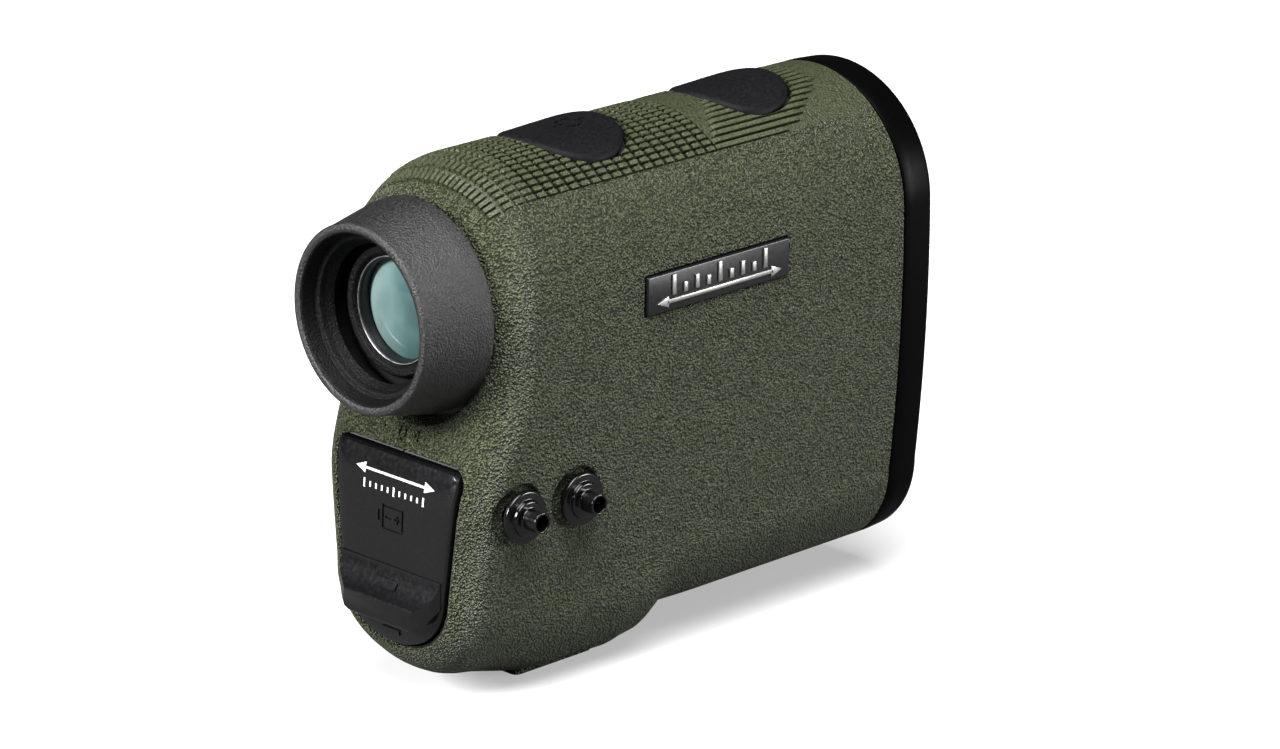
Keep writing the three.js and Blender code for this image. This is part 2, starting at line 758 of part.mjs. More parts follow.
function prismSolid(points) {
  const outline = points.map(([x, z]) => [AXIS_Z + z, PRISM_X + x]);
  return prism('y', outline, -PRISM_HALF, PRISM_HALF);
}

function makeRoofPrism() {
  const leg = 17;
  const apex = [-6.9, -6.6];
  const run = leg / Math.SQRT2;
  return prismSolid([apex, [apex[0], apex[1] + leg], [apex[0] + run, apex[1] + run]]);
}

function makeHalfPentaPrism() {
  return prismSolid([[-5.7, -5.9], [6.2, 6.0], [7.8, 6.0], [7.8, -11.3]]);
}

function makePrismHolder() {
  const [inner, outer] = [PRISM_HALF + GAP, PRISM_HALF + GAP + 1.1];
  const channel = prism('x', [
    [-outer, 44.4], [outer, 44.4], [outer, 67.6], [inner, 67.6],
    [inner, 45.3], [-inner, 45.3], [-inner, 67.6], [-outer, 67.6],
  ], PRISM_X - 7.6, PRISM_X + 8.6);
  return channel.subtract(rod('z', PRISM_X + 1, 0, 3.1, 40, 50, 16));
}

function makePrismClip() {
  const [inner, outer] = [PRISM_HALF + GAP + 1.4, PRISM_HALF + GAP + 1.9];
  return prism('x', [
    [outer, 60], [outer, 68.5], [-outer, 68.5], [-outer, 60],
    [-inner, 60], [-inner, 68.0], [inner, 68.0], [inner, 60],
  ], PRISM_X - 4, PRISM_X + 2);
}

function makeObjectiveCell() {
  return turned([
    [44, 11.6],
    [44, OBJECTIVE.cellRadius],
    [59.2, OBJECTIVE.cellRadius],
    [59.2, OBJECTIVE.bore],
    [51.0, OBJECTIVE.bore],
    [51.0, 11.6],
  ], { segments: 28 });
}

function makeBaffleTube() {
  return turned([[23.5, 7.8], [23.5, 8.7], [43.7, 13.0], [43.7, 12.1]]);
}

// ---------- boards and cables ----------
function makeMainBoard() {
  const top = 41.2;
  const board = box(-14, 46, -10, 10, 40, top);
  const parts = [
    box(22, 34, -6, 6, top - 0.1, top + 1.0),
    box(-8, 0, -7, -1, top - 0.1, top + 0.9),
    box(38, 43, 2, 7, top - 0.1, top + 0.8),
    box(24, 30, -8, -2, 38.6, 40.1),
    box(4, 12, 3, 8, 37.2, 40.1),
  ];
  return join(board, ...parts);
}

function makeDriverBoard() {
  const board = box(29.6, 30.8, -8, 8, 19, 38);
  return join(board, box(27.6, 29.7, -4, 3, 22, 28), box(28.2, 29.7, -2, 5, 31, 35));
}

function strip(x0, x1, route, thickness) {
  const near = route;
  const far = route.map(([y, z], i) => {
    const [py, pz] = route[Math.max(i - 1, 0)];
    const [qy, qz] = route[Math.min(i + 1, route.length - 1)];
    const length = Math.hypot(qy - py, qz - pz);
    return [y + (thickness * (qz - pz)) / length, z - (thickness * (qy - py)) / length];
  });
  return prism('x', [...near, ...far.reverse()].reverse(), x0, x1);
}

function makeButtonFlex() {
  return strip(-6, -1, [
    [6.4, 69.0], [9.6, 67.6], [12.0, 64.6], [13.2, 60], [13.4, 55], [13.2, 48], [12.2, 43.6], [10.6, 42.2],
  ], 0.4);
}

function makeDisplayFlex() {
  const [onBoard, onFrame] = [41.55, 48.15];
  const outline = [
    [onBoard + 0.4, 6.4],
    [onBoard + 0.4, 1.2],
    [onFrame, 1.2],
    [onFrame, 0.8],
    [onBoard, 0.8],
    [onBoard, 6.4],
  ];
  return prism('y', outline, -3, 3);
}

// ---------- the object ----------
const group = new THREE.Group();

function add(name, solid, look) {
  const mesh = new THREE.Mesh(toGeometry(solid), look.clone());
  mesh.name = name;
  group.add(mesh);
}

const housing = makeHousing();
add('rubber_armour', makeArmour(), MATERIALS.armour);
add('housing_left', housing.intersect(box(-40, 70, GAP / 2, 30, -5, 90)), MATERIALS.housing);
add('housing_right', housing.intersect(box(-40, 70, -30, -GAP / 2, -5, 90)), MATERIALS.housing);
add('front_bezel', makeBezel(), MATERIALS.bezel);
add('front_gasket', makeFrontGasket(), MATERIALS.seal);
add('badge_right', makeBadge(-1), MATERIALS.badge);
add('badge_left', makeBadge(1), MATERIALS.badge);
for (const [place, x] of Object.entries(STUD.xs)) {
  add(`clip_stud_${place}`, makeStud(x), MATERIALS.stud);
  add(`clip_stud_washer_${place}`, makeStudWasher(x), MATERIALS.steel);
}
SCREWS.forEach((screw, i) => add(`housing_screw_${i + 1}`, makeScrew(screw), MATERIALS.steel));

for (const [name, key] of Object.entries(KEYS)) {
  add(`${name}_key`, makeKey(key), MATERIALS.key);
  add(`${name}_switch`, makeSwitch(key), MATERIALS.chip);
  add(`${name}_switch_plunger`, makePlunger(key), MATERIALS.brass);
}
add('button_board', box(-2, 38, -6, 6, BUTTON_BOARD_Z, BUTTON_BOARD_Z + 0.6), MATERIALS.board);
add('button_flex', makeButtonFlex(), MATERIALS.flex);

add('rubber_eyecup', makeEyecup(), MATERIALS.eyecup);
add('dioptre_ring', makeDioptreRing(), MATERIALS.anodised);
add('eyepiece_barrel', makeBarrel(), MATERIALS.anodised);
add('eyepiece_gasket', tube(-18.0, -17.4, 11.5, 12.4), MATERIALS.seal);
add('eye_lens_cell', makeEyeCell(), MATERIALS.anodised);
add('eye_lens', lens(-24.4, -1.6, -21.6, 0.4, 7.3), MATERIALS.glass);
add('eye_lens_retaining_ring', tube(-26.7, -25.1, 7.13, 8.6), MATERIALS.steel);
add('eyepiece_doublet', lens(-20.2, -0.3, -15.0, 1.0, 6.3), MATERIALS.glass);
add('field_lens_holder', tube(-9.4, -1.6, 7.9, 9.2), MATERIALS.anodised);
add('field_lens', lens(-7.0, -0.8, -4.2, 1.2, 7.6), MATERIALS.glass);

const displayFrame = disc(2.2, 5.2, 9.8).subtract(box(0, 8, -6.3, 6.3, AXIS_Z - 5.3, AXIS_Z + 5.3));
add('display_frame', displayFrame, MATERIALS.housing);
add('display_panel', box(3.0, 4.4, -6, 6, AXIS_Z - 5, AXIS_Z + 5), MATERIALS.glass);
add('display_flex', makeDisplayFlex(), MATERIALS.flex);

add('schmidt_roof_prism', makeRoofPrism(), MATERIALS.glass);
add('half_penta_prism', makeHalfPentaPrism(), MATERIALS.glass);
add('prism_holder', makePrismHolder(), MATERIALS.anodised);
add('prism_clip', makePrismClip(), MATERIALS.steel);
add('baffle_tube', makeBaffleTube(), MATERIALS.anodised);
add('objective_cell', makeObjectiveCell(), MATERIALS.anodised);
const bigLens = { segments: 24 };
add('objective_flint_lens', lens(51.4, 0, 54.6, -1.2, OBJECTIVE.lensRadius, bigLens), MATERIALS.glass);
add('objective_crown_lens', lens(55.0, -1.2, 56.4, 1.7, OBJECTIVE.lensRadius, bigLens), MATERIALS.glass);
add('objective_retaining_ring', tube(57.4, 58.8, 11.3, OBJECTIVE.lensRadius, bigLens), MATERIALS.anodised);

const emitterAxis = { z: EMITTER.z, segments: 18 };
add('emitter_lens', lens(55.2, -0.8, 57.2, 1.2, EMITTER.lensRadius, emitterAxis), MATERIALS.glass);
add('emitter_tube', tube(38.2, 59.2, EMITTER.bore, EMITTER.tubeRadius, emitterAxis), MATERIALS.anodised);
add('laser_diode_mount', tube(33.2, 37.9, 3.1, 7.9, emitterAxis), MATERIALS.brass);
add('laser_diode', disc(31.6, 36.8, 2.8, { z: EMITTER.z, segments: 16 }), MATERIALS.brass);
add('laser_driver_board', makeDriverBoard(), MATERIALS.board);
add('apd_detector', rod('z', PRISM_X + 1, 0, 2.6, 41.6, 44.9), MATERIALS.brass);
add('main_board', makeMainBoard(), MATERIALS.board);

add('battery_door', makeDoor(), MATERIALS.door);
add('door_hinge_pin', makeHingePin(), MATERIALS.steel);
add('door_gasket', tube(-24.9, -23.9, 9.3, 10.4, { z: BATTERY.z }), MATERIALS.seal);
add('door_contact_spring', makeContactSpring(), MATERIALS.brass);
add('battery_tube', makeBatteryTube(), MATERIALS.housing);
add('battery_cell', makeBattery(), MATERIALS.battery);
const contact = disc(5.7, 6.0, 5.0, { z: BATTERY.z, segments: 16 });
add('battery_positive_contact', contact, MATERIALS.brass);

export default group;
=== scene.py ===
# Visual model of a hand-held laser rangefinder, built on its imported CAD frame.
# Lengths in this script are millimetres; mesh_object() turns them into metres.
import json
import math

import bmesh
import bpy
import numpy as np
from mathutils import Matrix, Vector
from mathutils.bvhtree import BVHTree


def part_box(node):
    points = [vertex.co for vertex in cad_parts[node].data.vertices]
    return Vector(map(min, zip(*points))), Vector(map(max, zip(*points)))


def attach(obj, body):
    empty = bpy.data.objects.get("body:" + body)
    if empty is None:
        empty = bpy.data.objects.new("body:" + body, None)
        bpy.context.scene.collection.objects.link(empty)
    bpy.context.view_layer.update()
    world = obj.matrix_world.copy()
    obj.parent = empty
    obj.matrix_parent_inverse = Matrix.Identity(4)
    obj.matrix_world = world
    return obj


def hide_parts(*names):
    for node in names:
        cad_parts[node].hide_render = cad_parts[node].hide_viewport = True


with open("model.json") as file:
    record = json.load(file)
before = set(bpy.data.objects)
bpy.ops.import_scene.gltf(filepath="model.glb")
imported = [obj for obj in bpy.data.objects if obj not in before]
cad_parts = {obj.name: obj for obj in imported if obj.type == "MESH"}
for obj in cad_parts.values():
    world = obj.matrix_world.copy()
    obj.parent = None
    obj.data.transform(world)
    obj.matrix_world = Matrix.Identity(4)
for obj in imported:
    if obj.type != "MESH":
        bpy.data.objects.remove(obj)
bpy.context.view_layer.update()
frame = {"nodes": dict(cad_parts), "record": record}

MM = 0.001


def box_mm(node):
    low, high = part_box(node)
    return low / MM, high / MM


# ---------- driving dimensions, in the CAD model's frame ----------
ARMOUR_HIGH = box_mm("rubber_armour")[1]
BEZEL_LOW, BEZEL_HIGH = box_mm("front_bezel")
CUP_LOW, CUP_HIGH = box_mm("rubber_eyecup")
AXIS_Z = (CUP_LOW.z + CUP_HIGH.z) / 2  # optical axis
HALF_TOP = ARMOUR_HIGH.y  # half width at the top, and the radius of the round top
TOP = ARMOUR_HIGH.z
SHOULDER_Z = TOP - HALF_TOP
HALF_FRONT, HALF_REAR = 16.19, 14.7  # half width where the bottom corner starts
CORNER_FRONT, CORNER_REAR = 13.7, 14.6
SIDE_BULGE = 0.65
BOTTOM_FRONT, BOTTOM_REAR = 4.6, 2.9
DOOR_X, DOOR_Z, LEAN = -28.1, 20.6, 1.64 / 30  # lower rear face
UPPER_X = -21.96  # rear face behind the eyepiece
BEND_LOW, BEND_HIGH = 30.5, 50.6
ROUND_SIDE, ROUND_TOP, ROUND_BOTTOM = 5.7, 10.2, 10.0
ARMOUR_FRONT = ARMOUR_HIGH.x
COMMON_X = -4.0  # from here forward, each ring lies in one plane
EMITTER_Z = 29.0  # axis of the laser emitter


# ---------- mesh helpers ----------
def mesh_object(name, points, faces, sharp=35):
    """A mesh object from points in millimetres. Edges sharper than the angle stay creased."""
    mesh = bpy.data.meshes.new(name)
    mesh.from_pydata([tuple(c * MM for c in p) for p in points], [], faces)
    mesh.validate()
    piece = bpy.data.objects.new(name, mesh)
    bpy.context.scene.collection.objects.link(piece)
    tidy_normals(piece)
    crease(piece, sharp)
    return piece


def tidy_normals(piece):
    cage = bmesh.new()
    cage.from_mesh(piece.data)
    bmesh.ops.recalc_face_normals(cage, faces=cage.faces)
    cage.to_mesh(piece.data)
    cage.free()


def crease(piece, sharp=35):
    piece.data.polygons.foreach_set("use_smooth", [True] * len(piece.data.polygons))
    piece.data.set_sharp_from_angle(angle=math.radians(sharp))


def apply_modifiers(piece):
    graph = bpy.context.evaluated_depsgraph_get()
    done = bpy.data.meshes.new_from_object(piece.evaluated_get(graph))
    old = piece.data
    piece.modifiers.clear()
    piece.data = done
    bpy.data.meshes.remove(old)


def boolean(piece, other, operation="DIFFERENCE", keep=False):
    change = piece.modifiers.new("boolean", "BOOLEAN")
    change.operation = operation
    change.solver = "MANIFOLD"
    change.object = other
    apply_modifiers(piece)
    if not keep:
        bpy.data.objects.remove(other)
    return piece


def cut(piece, *others):
    for other in others:
        boolean(piece, other)
    return piece


def join(piece, *others):
    for other in others:
        boolean(piece, other, "UNION")
    return piece


def copy_of(piece, name, shift):
    twin = bpy.data.objects.new(name, piece.data.copy())
    twin.data.transform(Matrix.Translation(Vector(shift) * MM))
    bpy.context.scene.collection.objects.link(twin)
    return twin


def deboss(piece, mark, depth):
    """Sinks the mark's outline into the piece, to a floor that follows its surface."""
    floor = copy_of(piece, "floor", depth)
    boolean(mark, floor)
    return boolean(piece, mark)


def emboss(piece, mark, height):
    """A separate thin raised copy of the piece's surface inside the mark's outline."""
    raised = copy_of(piece, "raised", height)
    boolean(mark, raised, "INTERSECT")
    return boolean(mark, piece, keep=True)


def bevel(piece, width, segments=3, angle=30):
    change = piece.modifiers.new("bevel", "BEVEL")
    change.width = width * MM
    change.segments = segments
    change.angle_limit = math.radians(angle)
    change.limit_method = "ANGLE"
    apply_modifiers(piece)
    return piece


AXES = {"x": (1, 2, 0), "y": (2, 0, 1), "z": (0, 1, 2)}


def placed(axis, u, v, w):
    """The point with coordinates u, v across the axis and w along it."""
    point = [0.0, 0.0, 0.0]
    for slot, value in zip(AXES[axis], (u, v, w)):
        point[slot] = value
    return tuple(point)


def band(first, second, count):
    """Faces between two closed rings of points."""
    steps = [(k, (k + 1) % count) for k in range(count)]
    return [(first + k, first + n, second + n, second + k) for k, n in steps]


def fan(first, tip, count):
    """Faces between one closed ring of points and a centre point."""
    return [(first + k, first + (k + 1) % count, tip) for k in range(count)]


def prism(name, axis, outline, start, end):
    """Outline pairs are (y, z) along X, (z, x) along Y and (x, y) along Z."""
    count = len(outline)
    points = [placed(axis, u, v, w) for w in (start, end) for u, v in outline]
    caps = [tuple(range(count))[::-1], tuple(range(count, 2 * count))]
    return mesh_object(name, points, band(0, count, count) + caps)


def rectangle(u0, u1, v0, v1):
    return [(u0, v0), (u1, v0), (u1, v1), (u0, v1)]


def circle(u, v, radius, count=64):
    return [
        (u + radius * math.cos(2 * math.pi * i / count), v + radius * math.sin(2 * math.pi * i / count))
        for i in range(count)
    ]


def rod(name, axis, u, v, radius, start, end, count=64):
    return prism(name, axis, circle(u, v, radius, count), start, end)


def filleted(corners, closed=True, steps=6):
    """Rounds the corners (u, v, radius) of an outline with arcs."""
    result = []
    count = len(corners)
    for i, (u, v, radius) in enumerate(corners):
        here = Vector((u, v))
        if radius == 0 or (not closed and i in (0, count - 1)):
            result.append((u, v))
            continue
        before = Vector(corners[i - 1][:2]) - here
        after = Vector(corners[(i + 1) % count][:2]) - here
        half = before.angle(after) / 2
        reach = min(radius / math.tan(half), 0.49 * before.length, 0.49 * after.length)
        size = reach * math.tan(half)
        centre = here + (before.normalized() + after.normalized()).normalized() * (size / math.sin(half))
        first = here + before.normalized() * reach - centre
        last = here + after.normalized() * reach - centre
        swing = first.angle_signed(last)
        for k in range(steps + 1):
            turned = Matrix.Rotation(-swing * k / steps, 2) @ first
            result.append(tuple(centre + turned))
    return result


def rounded_box(u0, u1, v0, v1, radius, steps):
    return filleted([(u, v, radius) for u, v in rectangle(u0, u1, v0, v1)], steps=steps)


def through_rear(name, outline, extra=0):
    """A prism along X that passes through the rear wall or the door."""
    return prism(name, "x", outline, -40 - extra, -20 + extra)


def lathe(name, profile, z=None, axis="x", centre=(0, 0), count=144, sharp=35):
    """Turns a profile of (along, radius) pairs. It starts and ends on the axis, or is closed."""
    z = AXIS_Z if z is None else z
    u0, v0 = (0, z) if axis == "x" else centre
    solid = profile[0][1] == 0 and profile[-1][1] == 0
    inner = profile[1:-1] if solid else profile
    points = []
    for along, radius in inner:
        points += [placed(axis, u, v, along) for u, v in circle(u0, v0, radius, count)]
    faces = []
    rows = len(inner)
    for r in range(rows - 1 if solid else rows):
        faces += band(r * count, ((r + 1) % rows) * count, count)
    if solid:
        for row, end in ((0, profile[0][0]), (rows - 1, profile[-1][0])):
            points.append(placed(axis, u0, v0, end))
            faces += fan(row * count, len(points) - 1, count)
    return mesh_object(name, points, faces, sharp)


# ---------- the body's skin ----------
def ease(start, end, value):
    t = np.clip((value - start) / (end - start), 0, 1)
    return t * t * (3 - 2 * t)


def mix(a, b, share):
    return a + (b - a) * share


def underside_z(x):
    bay = BOTTOM_REAR * (1 - ease(-22, -6, x)) + 0.8 * ease(4.2, 7.8, x)
    step = ease(7.8, 13.8, x)
    return bay * (1 - step) + BOTTOM_FRONT * step


def rear_x(z):
    return mix(DOOR_X + LEAN * (z - DOOR_Z), UPPER_X, ease(BEND_LOW, BEND_HIGH, z))


def outline_point(x, kind, t):
    """y, z and the outward normal of one outline point at stations x, on the left side."""
    forward = ease(COMMON_X, 22, x)
    half = mix(HALF_REAR, HALF_FRONT, forward)
    corner = mix(CORNER_REAR, CORNER_FRONT, forward)
    low = underside_z(x)
    corner_z = low + corner
    if kind == "arch":
        ny, nz = math.sin(t), math.cos(t)
        return HALF_TOP * ny + 0 * x, SHOULDER_Z + HALF_TOP * nz + 0 * x, ny + 0 * x, nz + 0 * x
    if kind == "side":
        dy = half - HALF_TOP + 4 * SIDE_BULGE * (1 - 2 * t)
        dz = corner_z - SHOULDER_Z
        length = np.hypot(dy, dz)
        y = mix(HALF_TOP, half, t) + 4 * SIDE_BULGE * t * (1 - t)
        return y, mix(SHOULDER_Z, corner_z, t), -dz / length, dy / length
    if kind == "corner":
        ny, nz = math.cos(t), -math.sin(t)
        return half - corner + corner * ny, corner_z + corner * nz, ny + 0 * x, nz + 0 * x
    return (half - corner) * (1 - t), low, 0 * x, 0 * x - 1


def half_outline(angles):
    """Kind and share of each point of the outline's left half, from the top to the underside."""
    half = [("arch", a) for a in angles]
    half += [("side", t) for t in np.linspace(0, 1, 41)[:-1]]
    half += [("corner", a) for a in np.linspace(0, math.pi / 2, 29)[:-1]]
    return half + [("floor", 0.0), ("floor", 1.0)]


def both_sides(left):
    right = [c * np.array([1, -1, 1]) for c in left[1:-1]][::-1]
    return np.array(left + right)


def edge_radius(nz):
    target = np.where(nz > 0, ROUND_TOP, ROUND_BOTTOM)
    return ROUND_SIDE + (target - ROUND_SIDE) * nz * nz


def skin_column(kind, t, offsets, stations, inset, relief):
    """One lengthwise line of skin points: the rounded rear edge, then the straight body."""
    rolls = np.arccos(1 - offsets / ROUND_TOP)
    x = np.full(len(offsets), DOOR_X + ROUND_SIDE)
    for _ in range(4):
        y0, z0, ny, nz = outline_point(x, kind, t)
        radius = edge_radius(nz) - inset
        even = radius * (1 - np.cos(rolls))
        if kind == "arch":
            along = offsets * (1 - inset / ROUND_TOP)
        elif kind == "side":
            along = mix(offsets * (1 - inset / ROUND_TOP), even, t)
        else:
            along = even
        roll = np.arccos(np.clip(1 - along / radius, 0, 1))
        inward = inset + radius * (1 - np.sin(roll))
        x = rear_x(z0 - nz * inward) + inset + along
    points = np.stack([x, y0 - ny * inward, z0 - nz * inward], 1)
    normals = np.stack([-np.cos(roll), ny * np.sin(roll), nz * np.sin(roll)], 1)
    last = points[-1, 0]
    share = (stations - stations[0]) / (COMMON_X - stations[0])
    ahead = np.where(stations < COMMON_X, last + (COMMON_X - last) * share, stations)[1:]
    y1, z1, ny1, nz1 = outline_point(ahead, kind, t)
    front = np.stack([ahead, y1 - ny1 * inset, z1 - nz1 * inset], 1)
    points = np.concatenate([points, front])
    normals = np.concatenate([normals, np.stack([0 * ahead, ny1, nz1], 1)])
    if kind == "arch" and relief is not None:
        points = points + normals * relief(points[:, 0], t)[:, None]
    return points


PLAIN_ANGLES = np.linspace(0, math.pi / 2, 49)[:-1]


def skin(name, inset=0.0, front=ARMOUR_FRONT, angles=None, offsets=None, stations=None, relief=None):
    """The body's closed outer form, set in by a given depth."""
    angles = PLAIN_ANGLES if angles is None else angles
    offsets = ROUND_TOP * (1 - np.cos(np.linspace(0, math.pi / 2, 19))) if offsets is None else offsets
    start = UPPER_X + offsets[-1]
    if stations is None:
        stations = np.concatenate([np.linspace(start, COMMON_X, 5), np.linspace(-2, 24, 27)])
    stations = np.append(stations[stations < front], front)
    left = [skin_column(kind, t, offsets, stations, inset, relief) for kind, t in half_outline(angles)]
    columns = both_sides(left)
    count, rows = columns.shape[:2]
    index = np.arange(count * rows).reshape(count, rows)
    nxt = np.roll(index, -1, axis=0)
    sides = np.stack([index[:, :-1], nxt[:, :-1], nxt[:, 1:], index[:, 1:]], -1).reshape(-1, 4)
    faces = sides.tolist()
    for row in (0, rows - 1):
        for i in range(count // 2):
            strip = [index[i, row], index[i + 1, row], index[count - i - 1, row], index[-i % count, row]]
            faces.append(list(dict.fromkeys(int(k) for k in strip)))
    return mesh_object(name, columns.reshape(-1, 3), faces)


class Face:
    """One side of a solid, seen along an axis: height() gives its surface at (u, v)."""

    def __init__(self, piece, axis, sign):
        graph = bpy.context.evaluated_depsgraph_get()
        self.tree = BVHTree.FromObject(piece, graph)
        self.axis = axis
        self.sign = sign

    def height(self, u, v):
        start = Vector(placed(self.axis, u, v, 150 * self.sign)) * MM
        hit = self.tree.ray_cast(start, Vector(placed(self.axis, 0, 0, -self.sign)))[0]
        if hit is None:
            raise ValueError(f"nothing on the {self.axis} side at {u:.1f}, {v:.1f}")
        return hit[AXES[self.axis][2]] / MM


def signed_area(outline):
    return sum(a[0] * b[1] - b[0] * a[1] for a, b in zip(outline, outline[1:] + outline[:1])) / 2


def grown(outline, margin):
    """The outline moved outwards by the margin."""
    turn = 1 if signed_area(outline) > 0 else -1
    result = []
    for i, (u, v) in enumerate(outline):
        (pu, pv), (qu, qv) = outline[i - 1], outline[(i + 1) % len(outline)]
        side = Vector((qv - pv, pu - qu)).normalized() * turn * margin
        result.append((u + side.x, v + side.y))
    return result


def stacked(name, axis, rings, sharp=35):
    """A closed solid through rings of (u, v, w) points, with a centre point at each end."""
    count = len(rings[0])
    points = [placed(axis, *p) for ring in rings for p in ring]
    faces = []
    for r in range(len(rings) - 1):
        faces += band(r * count, (r + 1) * count, count)
    for row, ring in ((0, rings[0]), (len(rings) - 1, rings[-1])):
        points.append(placed(axis, *np.mean(ring, axis=0)))
        faces += fan(row * count, len(points) - 1, count)
    return mesh_object(name, points, faces, sharp)


def rim_cutter(face, outline, depth, radius):
    """Cuts an opening whose edge is rounded where it meets the face."""
    out, steps = face.sign, 5
    wide = grown(outline, radius + 0.06)
    rings = [[(u, v, face.height(u, v) + 6 * out) for u, v in wide]]
    rings.append([(u, v, face.height(u, v) + 0.03 * out) for u, v in wide])
    for k in range(1, steps + 1):
        turn = k / steps * math.pi / 2
        inner = grown(outline, radius * (1 - math.sin(turn)))
        drop = radius * (1 - math.cos(turn))
        rings.append([(u, v, face.height(u, v) - drop * out) for u, v in inner])
    rings.append([(u, v, face.height(u, v) - depth * out) for u, v in outline])
    return stacked("cutter", face.axis, rings)


def plate(name, axis, outline, height, sign, back, radius):
    """A closed plate between the surfaces height(u, v) and back(u, v), with a rounded edge."""
    rings, steps, fill = [], 5, 9
    flat = np.array(outline)
    for k in range(1, fill + 1):
        ring = flat.mean(0) + (flat - flat.mean(0)) * (k / fill)
        rings.append([(u, v, back(u, v)) for u, v in ring])
    for k in range(steps + 1):
        turn = k / steps * math.pi / 2
        inner = grown(outline, -radius * (1 - math.cos(turn)))
        drop = radius * (1 - math.sin(turn)) * sign
        rings.append([(u, v, height(u, v) - drop) for u, v in inner])
    inner = np.array(grown(outline, -radius))
    middle = inner.mean(0)
    for k in range(1, fill):
        ring = middle + (inner - middle) * (1 - k / fill)
        rings.append([(u, v, height(u, v)) for u, v in ring])
    return stacked(name, axis, rings)


# ---------- grip pattern on the armour ----------
ROW_PITCH = 0.0625  # radians round the top, 1.15 mm
ROWS = 11  # each side of the middle row
COLUMN_PITCH = 2.03
COLUMNS = 21
KNURL_START = -19.3
KNURL_END = KNURL_START + COLUMNS * COLUMN_PITCH
BLOCK_RISE, GROOVE = 0.15, 0.5
ROW_TOP, ROW_FOOT = 0.30, 0.41  # half widths of a block, as shares of the pitch
COLUMN_TOP, COLUMN_FOOT = 0.32, 0.42
GRIP_LIMIT = (ROWS + 0.5) * ROW_PITCH


def ridge_start(angle):
    return 31.4 - 0.215 * math.degrees(angle)


def ridge_end(angle):
    tail = 57.3 - 0.45 * math.degrees(angle)
    return min(tail, 50.5) - (1.5 if angle > GRIP_LIMIT - ROW_PITCH else 0)


def hump(distance, top, foot):
    """1 on a block's top, 0 at its foot and beyond."""
    return np.clip((foot - np.abs(distance)) / (foot - top), 0, 1)


def grip_relief(x, angle):
    """Height of the grip pattern above the plain armour."""
    row = round(angle / ROW_PITCH)
    if row > ROWS:
        return 0 * x
    across = float(hump(angle / ROW_PITCH - row, ROW_TOP, ROW_FOOT))
    column = (x - KNURL_START) / COLUMN_PITCH - 0.5
    along = hump(column - np.round(column), COLUMN_TOP, COLUMN_FOOT)
    blocks = along * across * (BLOCK_RISE + GROOVE) - GROOVE
    start, end = ridge_start(row * ROW_PITCH), ridge_end(row * ROW_PITCH)
    edge = 0.45
    inside = np.clip((x - start) / edge, 0, 1) * np.clip((end - x) / (3 * edge), 0, 1)
    ridges = inside * (across * (BLOCK_RISE + GROOVE) - GROOVE)
    return np.where(x < KNURL_START, 0, np.where(x <= KNURL_END, blocks, ridges))


def grip_lines():
    """Grid lines of the armour's mesh that follow the edges of the grip pattern."""
    angles = {0.0}
    for row in range(ROWS + 1):
        for share in (-ROW_FOOT, -ROW_TOP, ROW_TOP, ROW_FOOT):
            angles.add(max(0.0, (row + share) * ROW_PITCH))
    angles |= set(np.linspace(GRIP_LIMIT, math.pi / 2, 27)[:-1])
    xs = {UPPER_X + ROUND_TOP * (1 - math.cos(a)) for a in np.linspace(0, 0.74, 9)}
    xs |= {KNURL_START - 0.01, KNURL_START, KNURL_END, KNURL_END + 0.01}
    for column in range(COLUMNS):
        centre = KNURL_START + (column + 0.5) * COLUMN_PITCH
        for share in (-COLUMN_FOOT, -COLUMN_TOP, COLUMN_TOP, COLUMN_FOOT):
            xs.add(centre + share * COLUMN_PITCH)
    xs |= set(np.arange(KNURL_END + 0.4, 51.5, 0.4))
    top_end = UPPER_X + ROUND_TOP
    offsets = np.array(sorted(x - UPPER_X for x in xs if x < top_end - 0.05) + [ROUND_TOP])
    stations = np.array([top_end] + sorted(x for x in xs if x > top_end + 0.05))
    return np.array(sorted(angles)), offsets, stations


